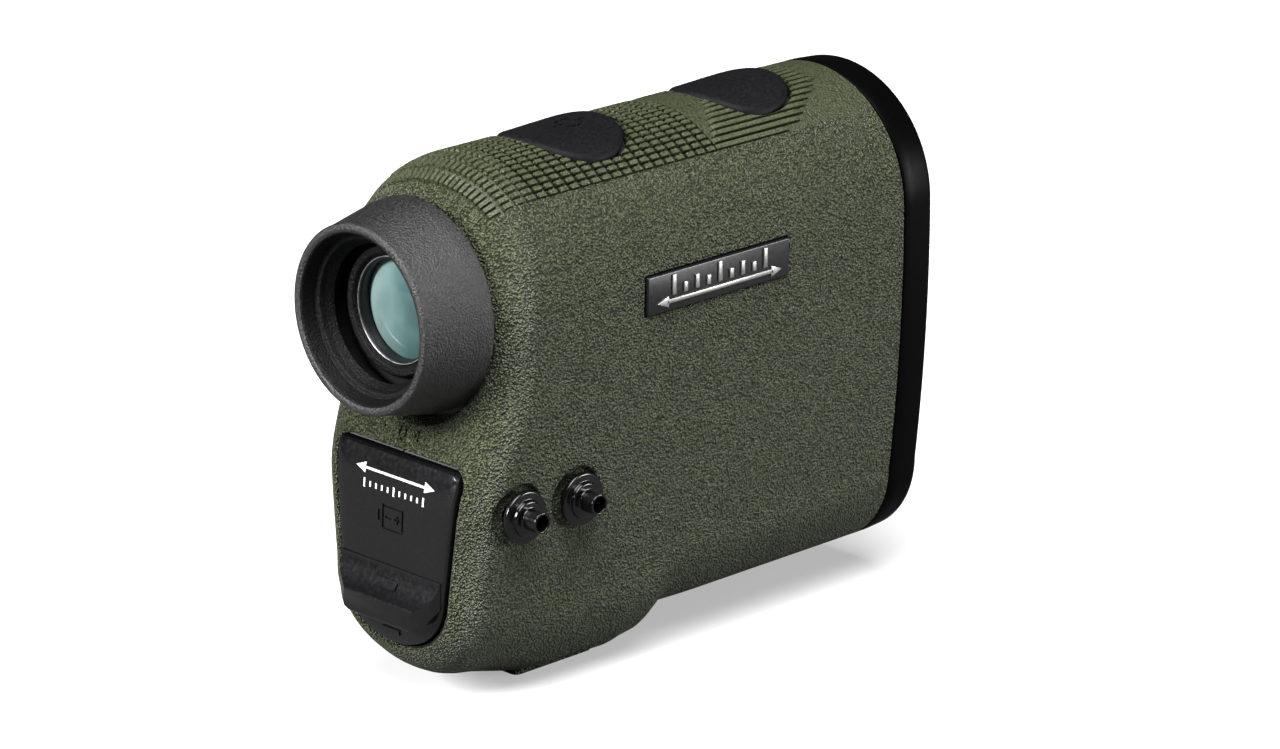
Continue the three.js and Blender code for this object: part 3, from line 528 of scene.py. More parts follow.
# ---------- procedural materials ----------
class Look:
    """A node material under construction, on one Principled shader."""

    def __init__(self, name, **values):
        self.material = bpy.data.materials.new(name)
        self.material.use_nodes = True
        self.tree = self.material.node_tree
        self.shader = self.tree.nodes["Principled BSDF"]
        for key, value in values.items():
            self.shader.inputs[self.socket(key)].default_value = value
        place = self.add("ShaderNodeTexCoord")
        self.place = place.outputs["Object"]

    @staticmethod
    def socket(key):
        return key.replace("_", " ").title().replace("Ior", "IOR")

    def add(self, kind, links=None, **settings):
        node = self.tree.nodes.new(kind)
        for key, value in settings.items():
            if hasattr(node, key):
                setattr(node, key, value)
            else:
                node.inputs[self.socket(key)].default_value = value
        for key, source in (links or {}).items():
            self.tree.links.new(source, node.inputs[key])
        return node

    def noise(self, scale, detail=2.0, roughness=0.5):
        node = self.add("ShaderNodeTexNoise", {"Vector": self.place}, scale=scale)
        node.inputs["Detail"].default_value = detail
        node.inputs["Roughness"].default_value = roughness
        return node.outputs["Fac"]

    def pebbles(self, scale, vector, smoothness):
        node = self.add("ShaderNodeTexVoronoi", {"Vector": vector}, feature="SMOOTH_F1")
        node.inputs["Scale"].default_value = scale
        node.inputs["Smoothness"].default_value = smoothness
        return self.maths("SUBTRACT", 1.0, node.outputs["Distance"])

    def maths(self, operation, a, b):
        node = self.add("ShaderNodeMath", operation=operation)
        for socket, value in zip(node.inputs, (a, b)):
            if isinstance(value, (int, float)):
                socket.default_value = value
            else:
                self.tree.links.new(value, socket)
        return node.outputs[0]

    def remap(self, value, start, end, low=0.0, high=1.0):
        node = self.add(
            "ShaderNodeMapRange", {"Value": value}, from_min=start, from_max=end, to_min=low, to_max=high)
        return node.outputs["Result"]

    def axes(self):
        return self.add("ShaderNodeSeparateXYZ", {"Vector": self.place}).outputs

    def radius(self, height):
        """Distance from the line along X on the mid-plane, at a height in millimetres."""
        x, y, z = self.axes()
        across = self.maths("POWER", y, 2.0)
        upward = self.maths("POWER", self.maths("SUBTRACT", z, height * MM), 2.0)
        return self.maths("SQRT", self.maths("ADD", across, upward), 0.0)

    def ramp(self, source, *stops):
        """Colours or greys along a source value, as (position, colour) stops."""
        node = self.add("ShaderNodeValToRGB", {"Fac": source})
        ends = node.color_ramp.elements
        while len(ends) < len(stops):
            ends.new(0.5)
        for element, (position, colour) in zip(ends, stops):
            element.position = position
            colour = (colour,) * 3 if isinstance(colour, (int, float)) else colour
            element.color = (*colour, 1)
        return node.outputs["Color"]

    def use(self, **sources):
        for key, source in sources.items():
            self.tree.links.new(source, self.shader.inputs[self.socket(key)])
        return self

    def bump(self, *layers):
        """Chained bumps of (height, strength, distance in millimetres)."""
        normal = None
        for height, strength, distance in layers:
            links = {"Height": height}
            if normal is not None:
                links["Normal"] = normal
            node = self.add("ShaderNodeBump", links)
            node.inputs["Strength"].default_value = strength
            node.inputs["Distance"].default_value = distance * MM
            normal = node.outputs["Normal"]
        self.tree.links.new(normal, self.shader.inputs["Normal"])
        return self


# painted groove shade is held at this flat level on the rounded rear edge
PLAIN_SHADE = 0.49  # of the grip on the rounded rear edge


def painted_grip_shade(look):
    """Painted shade in the grip: how dark its grooves and blocks are, by distance from the arch axis, and
    where the grip is.
    """
    x, y, z = look.axes()
    upward = look.maths("SUBTRACT", z, SHOULDER_Z * MM)
    angle = look.maths("ABSOLUTE", look.maths("ARCTAN2", y, upward), 0.0)
    across = look.maths("LESS_THAN", angle, GRIP_LIMIT)
    grip = look.maths("MULTIPLY", across, look.maths("GREATER_THAN", x, KNURL_START * MM))
    foot, top = (HALF_TOP - GROOVE) * MM, (HALF_TOP + BLOCK_RISE) * MM
    # painted shade: the groove floors get the darkest colour level and the block tops the palest
    painted_groove_shade = look.remap(look.radius(SHOULDER_Z), foot, top, 0.30, 0.51)
    straight = look.maths("GREATER_THAN", x, (UPPER_X + ROUND_TOP) * MM)
    rise = look.maths("MULTIPLY", look.maths("SUBTRACT", painted_groove_shade, PLAIN_SHADE), straight)
    return look.maths("ADD", rise, PLAIN_SHADE), grip


def armour_look():
    """Moulded leather grain: rounded pebbles, with painted shade that leaves their tops pale and darkens the
    valleys.

    The grip's blocks and ridges are almost plain, with painted shade making the grooves between them dark.
    """
    look = Look("armour_rubber", specular_ior_level=0.38)
    painted_groove_shade, grip = painted_grip_shade(look)
    warp = look.add("ShaderNodeTexNoise", {"Vector": look.place}, scale=900)
    bent = look.add("ShaderNodeMix", data_type="RGBA", blend_type="LINEAR_LIGHT")
    bent.inputs[0].default_value = 0.0003
    look.tree.links.new(look.place, bent.inputs[6])
    look.tree.links.new(warp.outputs["Color"], bent.inputs[7])
    pebbles = look.pebbles(2900, bent.outputs[2], 0.3)
    fine = look.noise(5600, 1.0)
    grain = look.maths("ADD", look.maths("MULTIPLY", pebbles, 0.7), look.maths("MULTIPLY", fine, 0.3))
    share = look.maths("MULTIPLY", grip, 0.8)
    grain = look.maths("MULTIPLY", grain, look.maths("SUBTRACT", 1.0, share))
    height = look.maths("ADD", grain, look.maths("MULTIPLY", painted_groove_shade, share))
    # painted shade: the colour darkens with height, in the pebbles' valleys and in the grip's grooves
    look.use(base_color=look.ramp(
        height, (0.42, (0.012, 0.015, 0.006)), (0.56, (0.050, 0.060, 0.028)), (0.72, (0.108, 0.124, 0.068))))
    look.use(roughness=look.ramp(fine, (0.3, 0.34), (0.7, 0.5)))
    return look.bump((height, 1.0, 1.05)).material


def rubber_look(name, colour, speck, scale=2600, depth=0.06, **values):
    look = Look(name, **values)
    fine = look.noise(scale, 3.0, 0.65)
    broad = look.noise(90, 2.0)
    shade = look.maths("ADD", look.maths("MULTIPLY", broad, 0.3), look.maths("MULTIPLY", fine, 0.7))
    look.use(base_color=look.ramp(shade, (0.35, colour), (0.68, speck)))
    look.use(roughness=look.ramp(fine, (0.3, 0.5), (0.7, 0.66)))
    return look.bump((fine, 0.8, depth)).material


def plastic_look(name, colour, rough=(0.32, 0.42), scale=1500, depth=0.01, **values):
    look = Look(name, **values)
    fine = look.noise(scale, 2.0)
    broad = look.noise(70, 2.0)
    low = tuple(c * 0.8 for c in colour)
    look.use(base_color=look.ramp(broad, (0.3, low), (0.7, colour)))
    look.use(roughness=look.ramp(fine, (0.3, rough[0]), (0.7, rough[1])))
    return look.bump((fine, 0.4, depth)).material


def metal_look(name, colour, rough=(0.25, 0.38), scale=900, depth=0.004):
    look = Look(name, metallic=1.0)
    fine = look.noise(scale, 4.0)
    low = tuple(c * 0.85 for c in colour)
    look.use(base_color=look.ramp(fine, (0.3, low), (0.7, colour)))
    look.use(roughness=look.ramp(fine, (0.3, rough[0]), (0.7, rough[1])))
    return look.bump((fine, 0.3, depth)).material


def eyecup_look():
    """Speckled matt rubber; painted shade makes the inside, within 12.2 mm of the axis, near black."""
    look = Look("eyecup_rubber")
    # painted shade: within 12.2 mm of the axis the speck colour drops to a tenth and the sheen is low
    outside = look.maths("GREATER_THAN", look.radius(AXIS_Z), 12.2 * MM)
    fine = look.noise(3200, 2.0, 0.65)
    speck = look.remap(fine, 0.40, 0.68)
    speck_and_inner_shade = look.maths("MULTIPLY", speck, look.maths("ADD", outside, 0.1))
    look.use(base_color=look.ramp(speck_and_inner_shade, (0.0, (0.002, 0.002, 0.002)), (1.0, (0.020, 0.019, 0.020))))
    look.use(specular_ior_level=look.maths("ADD", look.maths("MULTIPLY", outside, 0.36), 0.12))
    look.use(roughness=look.ramp(fine, (0.3, 0.36), (0.7, 0.5)))
    return look.bump((fine, 1.0, 0.24)).material


def eye_glass_look():
    """A coated lens: deep teal on its right, and milky on its left as a painted reflection."""
    look = Look("coated_glass_painted_reflection", roughness=0.06, specular_ior_level=0.6)
    # painted reflection: the colour runs from deep teal at -Y to milky at +Y
    across = look.remap(look.axes()["Y"], -7 * MM, 7 * MM)
    cloud = look.maths("MULTIPLY", look.noise(260, 3.0), 0.35)
    shade = look.maths("ADD", look.maths("MULTIPLY", across, 0.8), cloud)
    look.use(base_color=look.ramp(
        shade, (0.2, (0.012, 0.036, 0.035)), (0.5, (0.05, 0.10, 0.10)), (0.9, (0.15, 0.22, 0.215))))
    return look.bump((look.noise(30, 1.0), 0.1, 0.02)).material


def front_glass_look():
    look = Look("front_glass", roughness=0.03, metallic=0.4, coat_weight=1.0, coat_roughness=0.02)
    haze = look.noise(90, 2.0)
    look.use(base_color=look.ramp(haze, (0.3, (0.020, 0.030, 0.045)), (0.7, (0.045, 0.050, 0.080))))
    return look.bump((look.noise(30, 1.0), 0.1, 0.02)).material


# ---------- outlines and shapes shared by several pieces ----------
DOOR_LOW, DOOR_HIGH = box_mm("battery_door")
DOOR_TOP, DOOR_BOTTOM, DOOR_HALF = DOOR_HIGH.z, DOOR_LOW.z, DOOR_HIGH.y
DOOR_HALF_LOW, DOOR_SIDE_END = 10.3, 17.2  # where the sides meet the round lower end
DOOR_CORNER = 1.8
DOOR_BACK = -25.2
HINGE_X, HINGE_Z, HINGE_RADIUS = -25.2, 34.5, 1.5
LIP_ROOT = -27.2  # inside the door's plate
SEAM = 0.35  # gap round the keys and the door
KEY_RISE, KEY_TILT, KEY_WALL = 0.5, math.tan(math.radians(2.2)), 1.1
KEY_SQUARENESS = 2.25
KEY_WIDEST = {"measure_key": 4.0, "menu_key": 36.5}
BATTERY_Z = 19.5
BADGE_LOW, BADGE_HIGH = box_mm("badge_right")
BADGE_GAP = 0.2


def resampled(outline, step):
    """The same closed outline with points no further apart than the step."""
    result = []
    for (u0, v0), (u1, v1) in zip(outline, outline[1:] + outline[:1]):
        parts = max(1, math.ceil(math.hypot(u1 - u0, v1 - v0) / step))
        result += [(mix(u0, u1, k / parts), mix(v0, v1, k / parts)) for k in range(parts)]
    return result


def door_outline(margin=0.0):
    corner = DOOR_CORNER + margin
    half, top = DOOR_HALF + margin, DOOR_TOP + margin
    low, bottom = DOOR_HALF_LOW + margin, DOOR_BOTTOM - margin
    right = []
    for k in range(9):
        turn = k / 8 * math.pi / 2
        right.append((half - corner + corner * math.sin(turn), top - corner + corner * math.cos(turn)))
    for k in range(24):
        turn = k / 24 * math.pi / 2
        right.append((low * math.cos(turn), DOOR_SIDE_END - (DOOR_SIDE_END - bottom) * math.sin(turn)))
    left = [(-y, z) for y, z in right[::-1]]
    return resampled(right + [(0, bottom)] + left, 0.7)


class Key:
    def __init__(self, node):
        low, high = box_mm(node)
        self.node = node
        self.half = high.y
        self.x = KEY_WIDEST[node]
        self.behind = self.x - low.x
        self.ahead = high.x - self.x

    def outline(self, margin=0.0):
        points, count = [], 120
        for k in range(count):
            turn = 2 * math.pi * k / count
            c, s = math.cos(turn), math.sin(turn)
            reach = (self.ahead if c > 0 else self.behind) + margin
            along = math.copysign(abs(c) ** (2 / KEY_SQUARENESS), c)
            across = math.copysign(abs(s) ** (2 / KEY_SQUARENESS), s)
            points.append((self.x + reach * along, (self.half + margin) * across))
        return points

    def height(self, x, y):
        arch = math.sqrt((HALF_TOP + KEY_RISE) ** 2 - y * y)
        return SHOULDER_Z + arch + KEY_TILT * (x - self.x)


def body_tube(name, rings):
    """The body's outline lofted through (x, inset) stations."""
    x = np.array([r[0] for r in rings])
    inset = np.array([r[1] for r in rings])
    left = []
    for kind, t in half_outline(PLAIN_ANGLES):
        y, z, ny, nz = outline_point(x, kind, t)
        left.append(np.stack([x, y - ny * inset, z - nz * inset], 1))
    columns = both_sides(left)
    rows = [[(p[1], p[2], p[0]) for p in columns[:, r]] for r in range(len(rings))]
    return stacked(name, "x", rows)


def lens_profile(x0, sag0, x1, sag1, radius):
    steps = 16

    def face(x, sag):
        return [(x + sag * (1 - (k / steps) ** 2), radius * k / steps) for k in range(steps + 1)]
    return face(x0, sag0) + face(x1, sag1)[::-1]


def tube_profile(x0, x1, bore, radius, round_off=0.15):
    corners = [(x0, bore), (x1, bore), (x1, radius), (x0, radius)]
    return filleted([(x, r, round_off) for x, r in corners], steps=3)


# ---------- placing pieces on the frame ----------
NODE_BODY = {n: b for b, ns in frame["record"]["behaviour"]["bodies"].items() for n in ns}
NODE_SLOT = {s["node"]: s["material_slot"] for s in frame["record"]["subparts"]}


def trim(piece, node, look):
    """A piece that rides with a CAD node's body."""
    piece.data.materials.clear()
    piece.data.materials.append(look)
    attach(piece, NODE_BODY[node])
    return piece


def stand_in(piece, node, look):
    """A piece that takes the place of one CAD node."""
    trim(piece, node, look)
    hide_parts(node)
    return piece


# ---------- armour ----------
STUDS = [("clip_stud_rear", -19.4), ("clip_stud_front", -8.6)]
STUD_Z = 29.7
STUD_RECESS = 4.35


def make_armour(plain):
    angles, offsets, stations = grip_lines()
    armour = skin("armour", angles=angles, offsets=offsets, stations=stations, relief=grip_relief)
    rear = Face(plain, "x", -1)
    above = Face(plain, "z", 1)
    pad = prism("pad", "z", rounded_box(-9, 6, -4.5, 4.5, 1, 6), 0, 2)
    join(armour, pad)
    cut(armour, skin("inside", inset=1.2, front=ARMOUR_FRONT + 2))
    cut(armour, rod("bore", "x", 0, AXIS_Z, 12.0, -30, -10, 96))
    cut(armour, rim_cutter(rear, door_outline(0.62), 6, 0.55))
    cup = lathe("pocket", [(-40, 0), (-40, 19.5), (-24.0, 16.6), (-22.9, 15.75), (-22.0, 15.6), (-22.0, 0)])
    cut(armour, cup)
    for key in KEYS:
        cut(armour, rim_cutter(above, key.outline(SEAM), 6, 0.25))
    for side in (-1, 1):
        flank = Face(plain, "y", side)
        u0, u1 = BADGE_LOW.z - BADGE_GAP, BADGE_HIGH.z + BADGE_GAP
        v0, v1 = BADGE_LOW.x - BADGE_GAP, BADGE_HIGH.x + BADGE_GAP
        hole = rounded_box(u0, u1, v0, v1, 0.3, 4)
        cut(armour, rim_cutter(flank, resampled(hole, 1.0), 1.0, 0.2))
    flank = Face(plain, "y", -1)
    for _, x in STUDS:
        cut(armour, rim_cutter(flank, circle(STUD_Z, x, STUD_RECESS, 72), 0.9, 0.45))
        cut(armour, rod("hole", "y", STUD_Z, x, 2.1, -19, -8))
    for mark in dioptre_scale():
        deboss(armour, mark, (0.28, 0, 0))
    crease(armour, 30)
    return armour


def dioptre_scale():
    """Minus, zero and plus, to be sunk into the rear face under the eyecup."""
    z, bar = 39.0, 0.22
    minus = through_rear("minus", rectangle(3.0, 4.4, z - bar, z + bar))
    turns = np.linspace(0, 2 * math.pi, 33)[:-1]
    oval = [(0.8 * math.cos(a) + 0.5, z + 1.15 * math.sin(a)) for a in turns]
    zero = through_rear("zero", oval)
    cut(zero, through_rear("inner", grown(oval, -0.38), 1))
    plus = through_rear("plus", rectangle(-3.4, -1.9, z - bar, z + bar))
    join(plus, through_rear("post", rectangle(-2.65 - bar, -2.65 + bar, z - 0.75, z + 0.75), 1))
    return [minus, zero, plus]


# ---------- keys ----------
def target_icon(x, y):
    ring = rod("ring", "z", x, y, 2.0, 60, 90)
    cut(ring, rod("inner", "z", x, y, 1.5, 59, 91))
    for k in range(4):
        turn = k * math.pi / 2
        c, s = round(math.cos(turn)), round(math.sin(turn))
        low = (x + 1.0 * c - 0.22 * abs(s), y + 1.0 * s - 0.22 * abs(c))
        high = (x + 3.0 * c + 0.22 * abs(s), y + 3.0 * s + 0.22 * abs(c))
        (u0, u1), (v0, v1) = sorted((low[0], high[0])), sorted((low[1], high[1]))
        join(ring, prism("tick", "z", rectangle(u0, u1, v0, v1), 61, 89))
    return ring


def bars_icon(x, y):
    bars = None
    for k in (-1, 0, 1):
        u = x + 1.3 * k
        outline = rounded_box(u - 0.25, u + 0.25, y - 2.2, y + 2.2, 0.2, 3)
        bar = prism("bar", "z", outline, 60, 90)
        bars = bar if bars is None else join(bars, bar)
    return bars


def make_key(key, icon):
    def under(x, y):
        return key.height(x, y) - KEY_WALL

    cap = plate(key.node, "z", key.outline(), key.height, 1, under, 0.75)
    join(cap, rod("stem", "z", key.x, 0, 2.2, 72.6, 75.6))
    deboss(cap, icon, (0, 0, -0.22))
    crease(cap, 40)
    return cap


# ---------- bezel and badges ----------
def make_bezel():
    back, face = BEZEL_LOW.x, BEZEL_HIGH.x
    rim = 1.1
    outer = [(back, 0.35), (back + 0.12, 0.12), (back + 0.4, 0.0), (back + 2.2, 0.0)]
    for a in np.linspace(0, math.pi / 2, 9):
        outer.append((face - rim + rim * math.sin(a), 0.2 + rim * (1 - math.cos(a))))
    bezel = body_tube("bezel", outer)
    cut(bezel, body_tube("inside", [(back - 1, 1.8), (face - 2.2, 1.8)]))
    for z, clear in ((AXIS_Z, 12.6), (EMITTER_Z, 7.0)):
        profile = [
            (face - 4, 0), (face - 4, clear), (face - 1.3, clear), (face - 1.3, clear + 0.35),
            (face - 0.95, clear + 0.35), (face - 0.35, clear + 1.25), (face - 0.1, clear + 1.55),
            (face + 0.5, clear + 1.75), (face + 0.5, 0),
        ]
        cut(bezel, lathe("aperture", profile, z))
    crease(bezel, 32)
    return bezel


def make_badge(side):
    """A plate with bevelled edges and a raised range scale: bars, a baseline and two arrowheads."""
    out = -side * BADGE_LOW.y
    near, face = out - side * 1.25, out - side * 0.24
    x0, x1, z0, z1 = BADGE_LOW.x, BADGE_HIGH.x, BADGE_LOW.z, BADGE_HIGH.z
    badge = prism("badge", "y", rounded_box(z0, z1, x0, x1, 0.25, 4), *sorted((near, face)))
    bevel(badge, 0.34, 3, 60)
    crease(badge, 30)
    middle_x, middle_z = (x0 + x1) / 2, (z0 + z1) / 2
    line = middle_z - 1.35
    shapes = [rectangle(line - 0.3, line + 0.3, x0 + 3.6, x1 - 3.6)]
    for end, turn in ((x0 + 1.8, 1), (x1 - 1.8, -1)):
        shapes.append([(line, end), (line - 0.85, end + 2.1 * turn), (line + 0.85, end + 2.1 * turn)])
    for k in range(-4, 5):
        tall = 2.9 if k % 4 == 0 else (2.0 if k % 2 == 0 else 1.4)
        u, foot = middle_x + 2.25 * k, line + 0.8
        shapes.append(rectangle(foot, foot + tall, u - 0.38, u + 0.38))
    low, high = sorted((face - side * 0.1, out))
    marks = [bevel(prism("mark", "y", shape, low, high), 0.08, 2) for shape in shapes]
    return badge, merged("badge_marks", marks)


def merged(name, pieces):
    """Several separate solids as one object."""
    cage = bmesh.new()
    for piece in pieces:
        cage.from_mesh(piece.data)
        bpy.data.objects.remove(piece)
    mesh = bpy.data.meshes.new(name)
    cage.to_mesh(mesh)
    cage.free()
    whole = bpy.data.objects.new(name, mesh)
    bpy.context.scene.collection.objects.link(whole)
    crease(whole, 30)
    return whole


# ---------- studs ----------
def make_stud(x):
    seat = -17.3
    corners = [
        (seat + 6.3, 0, 0), (seat + 6.3, 1.8, 0.2), (seat, 1.8, 0), (seat, 3.8, 0.1), (seat - 0.8, 3.8, 0.3),
        (seat - 0.8, 2.62, 0.12), (seat - 1.4, 2.5, 0.3), (seat - 1.4, 1.5, 0.2), (seat - 3.9, 1.5, 0.14),
        (seat - 3.9, 1.15, 0.12), (seat - 1.2, 1.15, 0.1), (seat - 1.2, 0, 0),
    ]
    profile = filleted(corners, closed=False, steps=5)
    return lathe("clip_stud", profile, axis="y", centre=(STUD_Z, x), count=96)


# ---------- eyepiece ----------
def make_eyecup():
    rim = CUP_LOW.x
    base = CUP_HIGH.x
    corners = [
        (base, 15.2, 0.4), (base - 2.2, 15.05, 4), (rim + 1.6, 13.55, 2.2), (rim + 0.1, 13.4, 1.0),
        (rim, 12.6, 0.7), (rim + 0.35, 11.95, 0.5), (rim + 2.45, 11.45, 0.2), (rim + 2.5, 10.75, 0.35),
        (rim + 3.3, 10.5, 0.3), (rim + 4.4, 9.8, 0.15), (rim + 4.6, 9.85, 0.1), (rim + 4.6, 13.0, 0),
        (base, 13.0, 0.2),
    ]
    return lathe("eyecup", filleted(corners, steps=8), count=192, sharp=50)


def make_eye_cell():
    corners = [
        (-27.4, 8.1, 0.25), (-27.45, 9.0, 0.2), (-27.0, 9.4, 0.15), (-13.0, 9.4, 0.1), (-13.0, 8.1, 0.1),
        (-14.4, 8.1, 0), (-14.4, 6.6, 0), (-20.8, 6.6, 0), (-20.8, 7.6, 0), (-26.6, 7.6, 0.1),
    ]
    return lathe("eye_lens_cell", filleted(corners, steps=4))


def make_retaining_ring():
    corners = [
        (-26.75, 7.3, 0.12), (-26.75, 7.55, 0.1), (-25.1, 7.55, 0), (-25.1, 7.13, 0.1), (-26.4, 7.13, 0.1),
    ]
    return lathe("eye_lens_retaining_ring", filleted(corners, steps=4))


# ---------- battery door and bay ----------
def make_door(plain):
    rear = Face(plain, "x", -1)
    door = plate("door", "x", door_outline(), rear.height, -1, lambda y, z: DOOR_BACK, 0.45)
    shoulder = rod("shoulder", "y", HINGE_Z, HINGE_X, HINGE_RADIUS, -DOOR_HALF, DOOR_HALF, 48)
    cut(door, prism("above", "x", rectangle(-20, 20, HINGE_Z + 1.2, 40), -26.2, -20))
    join(door, shoulder)
    lip = prism("lip", "y", filleted([
        (20.3, LIP_ROOT, 0), (20.3, -28.6, 0), (15.9, -30.9, 0.3), (12.8, -30.8, 0.5), (12.4, LIP_ROOT, 0),
    ], steps=5), -11, 11)
    plan = [(LIP_ROOT, 10.1, 0), (-28.3, 10.1, 0.5), (-29.4, 9.3, 1.2), (-31.0, 6.7, 0.9)]
    front = [(10.2, 21, 0), (10.2, 16.6, 1.5), (8.7, 14.3, 1.5), (4.2, 12.0, 1.5)]
    plan = [(x, -half, radius) for x, half, radius in plan] + plan[::-1]
    front = [(-half, z, radius) for half, z, radius in front] + front[::-1]
    boolean(lip, prism("plan", "z", filleted(plan, steps=6), DOOR_BOTTOM, 21), "INTERSECT")
    boolean(lip, prism("front", "x", filleted(front, steps=6), -32, LIP_ROOT), "INTERSECT")
    join(door, lip)
    cut(door, rod("scoop", "y", 21.6, -35.2, 7.0, -20, 20, 200))
    cut(door, rod("pin_hole", "y", HINGE_Z, HINGE_X, 0.6, -20, 20, 24))
    z = 27
    battery = rounded_box(-2.2, 2.2, z - 1.8, z + 1.8, 0.25, 4)
    sunk = through_rear("battery", battery)
    cut(sunk, through_rear("inner", grown(battery, -0.4), 1))
    deboss(door, sunk, (0.2, 0, 0))
    for y, half, tall in ((2.75, 0.3, 0.8), (0.9, 0.65, 0.18), (-1.0, 0.65, 0.18), (-1.0, 0.18, 0.65)):
        mark = through_rear("mark", rectangle(y - half, y + half, z - tall, z + tall))
        deboss(door, mark, (0.2, 0, 0))
    crease(door, 32)
    return door


def door_marks(door):
    """White printing: a double-headed range arrow over a row of ticks."""
    z, ticks_z, half = 33.0, 30.9, 0.16
    shapes = [rectangle(-6.2, 6.2, z - half, z + half)]
    for sign in (-1, 1):
        shapes.append([(8.0 * sign, z), (6.0 * sign, z + 0.75), (6.0 * sign, z - 0.75)])
    for k in range(-5, 6):
        tall = 1.3 if k % 5 == 0 else 0.75
        y = 1.2 * k
        shapes.append(rectangle(y - half, y + half, ticks_z - tall / 2, ticks_z + tall / 2))
    marks = [emboss(door, through_rear("mark", shape), (-0.03, 0, 0)) for shape in shapes]
    return merged("door_marks", marks)


def lip_bars(door):
    """Two small raised bars, in the scoop above the lip and on the plate below it."""
    upper = rounded_box(-2.3, 2.3, 17.5, 18.7, 0.3, 3)
    lower = rounded_box(-1.9, 1.9, 10.4, 11.3, 0.25, 3)
    bars = [emboss(door, prism("bar", "x", bar, -40, -26.2), (-0.22, 0, 0)) for bar in (upper, lower)]
    return merged("door_bars", bars)


def make_battery_tube():
    z = BATTERY_Z
    corners = [
        (-23.6, 8.15, 0.3), (6.3, 8.15, 0), (6.3, 2.0, 0), (7.5, 2.0, 0), (7.5, 9.0, 0.3), (-22.2, 9.0, 0.2),
        (-22.2, 10.8, 0.1), (-23.6, 10.8, 0.2),
    ]
    body = lathe("battery_tube", filleted(corners, steps=3), z)
    apron = prism("apron", "x", rectangle(-9.6, 9.6, z + 8.6, 32), -23.6, -22.2)
    wall = prism("wall", "x", rectangle(-9.6, 9.6, z + 9.2, 36.6), -22.4, -21.0)
    join(body, apron, wall)
    crease(body, 35)
    return body


def make_battery():
    low, high = box_mm("battery_cell")
    radius = high.y
    corners = [
        (low.x, 0, 0), (low.x, radius - 1.6, 0.05), (low.x + 0.25, radius - 1.5, 0.05),
        (low.x + 0.25, radius - 0.1, 0.3), (low.x + 0.8, radius, 0.3), (high.x - 1.6, radius, 0.3),
        (high.x - 1.0, radius - 0.6, 0.2),
        (high.x - 1.0, 3.0, 0.1), (high.x, 3.0, 0.3), (high.x, 0, 0),
    ]
    return lathe("battery_cell", filleted(corners, closed=False, steps=4), BATTERY_Z)


def make_contact_spring():
    """A conical wire coil fixed to the door's inner face."""
    low, high = box_mm("door_contact_spring")
    turns, per_turn, sides, wire = 3.5, 40, 12, 0.3
    x0, x1 = low.x + wire, high.x - wire
    rings = []
    for k in range(int(turns * per_turn) + 1):
        share = k / (turns * per_turn)
        turn = 2 * math.pi * turns * share
        radius = mix(5.0, 3.2, share)
        out = Vector((0, math.cos(turn), math.sin(turn)))
        centre = Vector((mix(x0, x1, share), 0, BATTERY_Z)) + out * radius
        ring = []
        for j in range(sides):
            angle = 2 * math.pi * j / sides
            p = centre + out * wire * math.cos(angle) + Vector((wire * math.sin(angle), 0, 0))
            ring.append((p.y, p.z, p.x))
        rings.append(ring)
    return stacked("door_contact_spring", "x", rings, 50)


# ---------- objective and emitter ----------
def make_objective_ring(z, x0, x1, bore, radius, notches):
    ring = lathe("ring", tube_profile(x0, x1, bore, radius), z)
    for k in range(notches):
        turn = 2 * math.pi * (k + 0.5) / notches
        c, s = math.cos(turn), math.sin(turn)
        middle = (bore + radius) / 2
        u, v = middle * c, z + middle * s
        cut(ring, rod("notch", "x", u, v, 0.45, x1 - 0.5, x1 + 1, 16))
    crease(ring, 35)
    return ring


# ---------- looks by material slot ----------
LOOKS = {
    "armour_rubber": armour_look(),
    "eyecup_rubber": eyecup_look(),
    "key_plastic": rubber_look(
        "key_plastic", (0.002, 0.002, 0.0025), (0.006, 0.0055, 0.0065), 2200, 0.03, specular_ior_level=0.08),
    "seal_rubber": rubber_look("seal_rubber", (0.006, 0.006, 0.006), (0.014, 0.014, 0.014)),
    "bright_steel": metal_look("bright_steel", (0.62, 0.62, 0.63)),
    "battery_can": metal_look("battery_can", (0.42, 0.43, 0.45), (0.3, 0.42)),
    "contact_brass": metal_look("contact_brass", (0.78, 0.55, 0.24)),
    "optical_glass": front_glass_look(),
}
PLASTICS = {
    "housing_plastic": ((0.012, 0.012, 0.013), (0.5, 0.62), {"depth": 0.02}),
    "bezel_plastic": ((0.001, 0.001, 0.001), (0.34, 0.42), {"specular_ior_level": 0.03}),
    "door_plastic": ((0.003, 0.003, 0.0035), (0.2, 0.28), {"specular_ior_level": 0.42}),
    "badge_plate": ((0.006, 0.006, 0.007), (0.26, 0.34), {"specular_ior_level": 0.35}),
    "stud_metal": ((0.002, 0.002, 0.002), (0.14, 0.2), {"depth": 0.003, "specular_ior_level": 0.4}),
    "black_anodised": ((0.006, 0.006, 0.007), (0.36, 0.46), {"specular_ior_level": 0.3}),
    "circuit_board": ((0.010, 0.09, 0.035), (0.3, 0.45), {}),
    "switch_plastic": ((0.010, 0.010, 0.010), (0.4, 0.5), {}),
    "flex_film": ((0.42, 0.17, 0.03), (0.25, 0.4), {}),
}
for slot, (colour, rough, settings) in PLASTICS.items():
    LOOKS[slot] = plastic_look(slot, colour, rough, **settings)
for node, piece in frame["nodes"].items():
    piece.data.materials.clear()
    piece.data.materials.append(LOOKS[NODE_SLOT[node]])

# ---------- assembly ----------
KEYS = [Key("measure_key"), Key("menu_key")]
SILVER = metal_look("silver_print", (0.34, 0.34, 0.33), (0.34, 0.5), 2500, 0.02)
WHITE = plastic_look("white_print", (0.75, 0.75, 0.74), (0.4, 0.5))
EYE_GLASS = eye_glass_look()

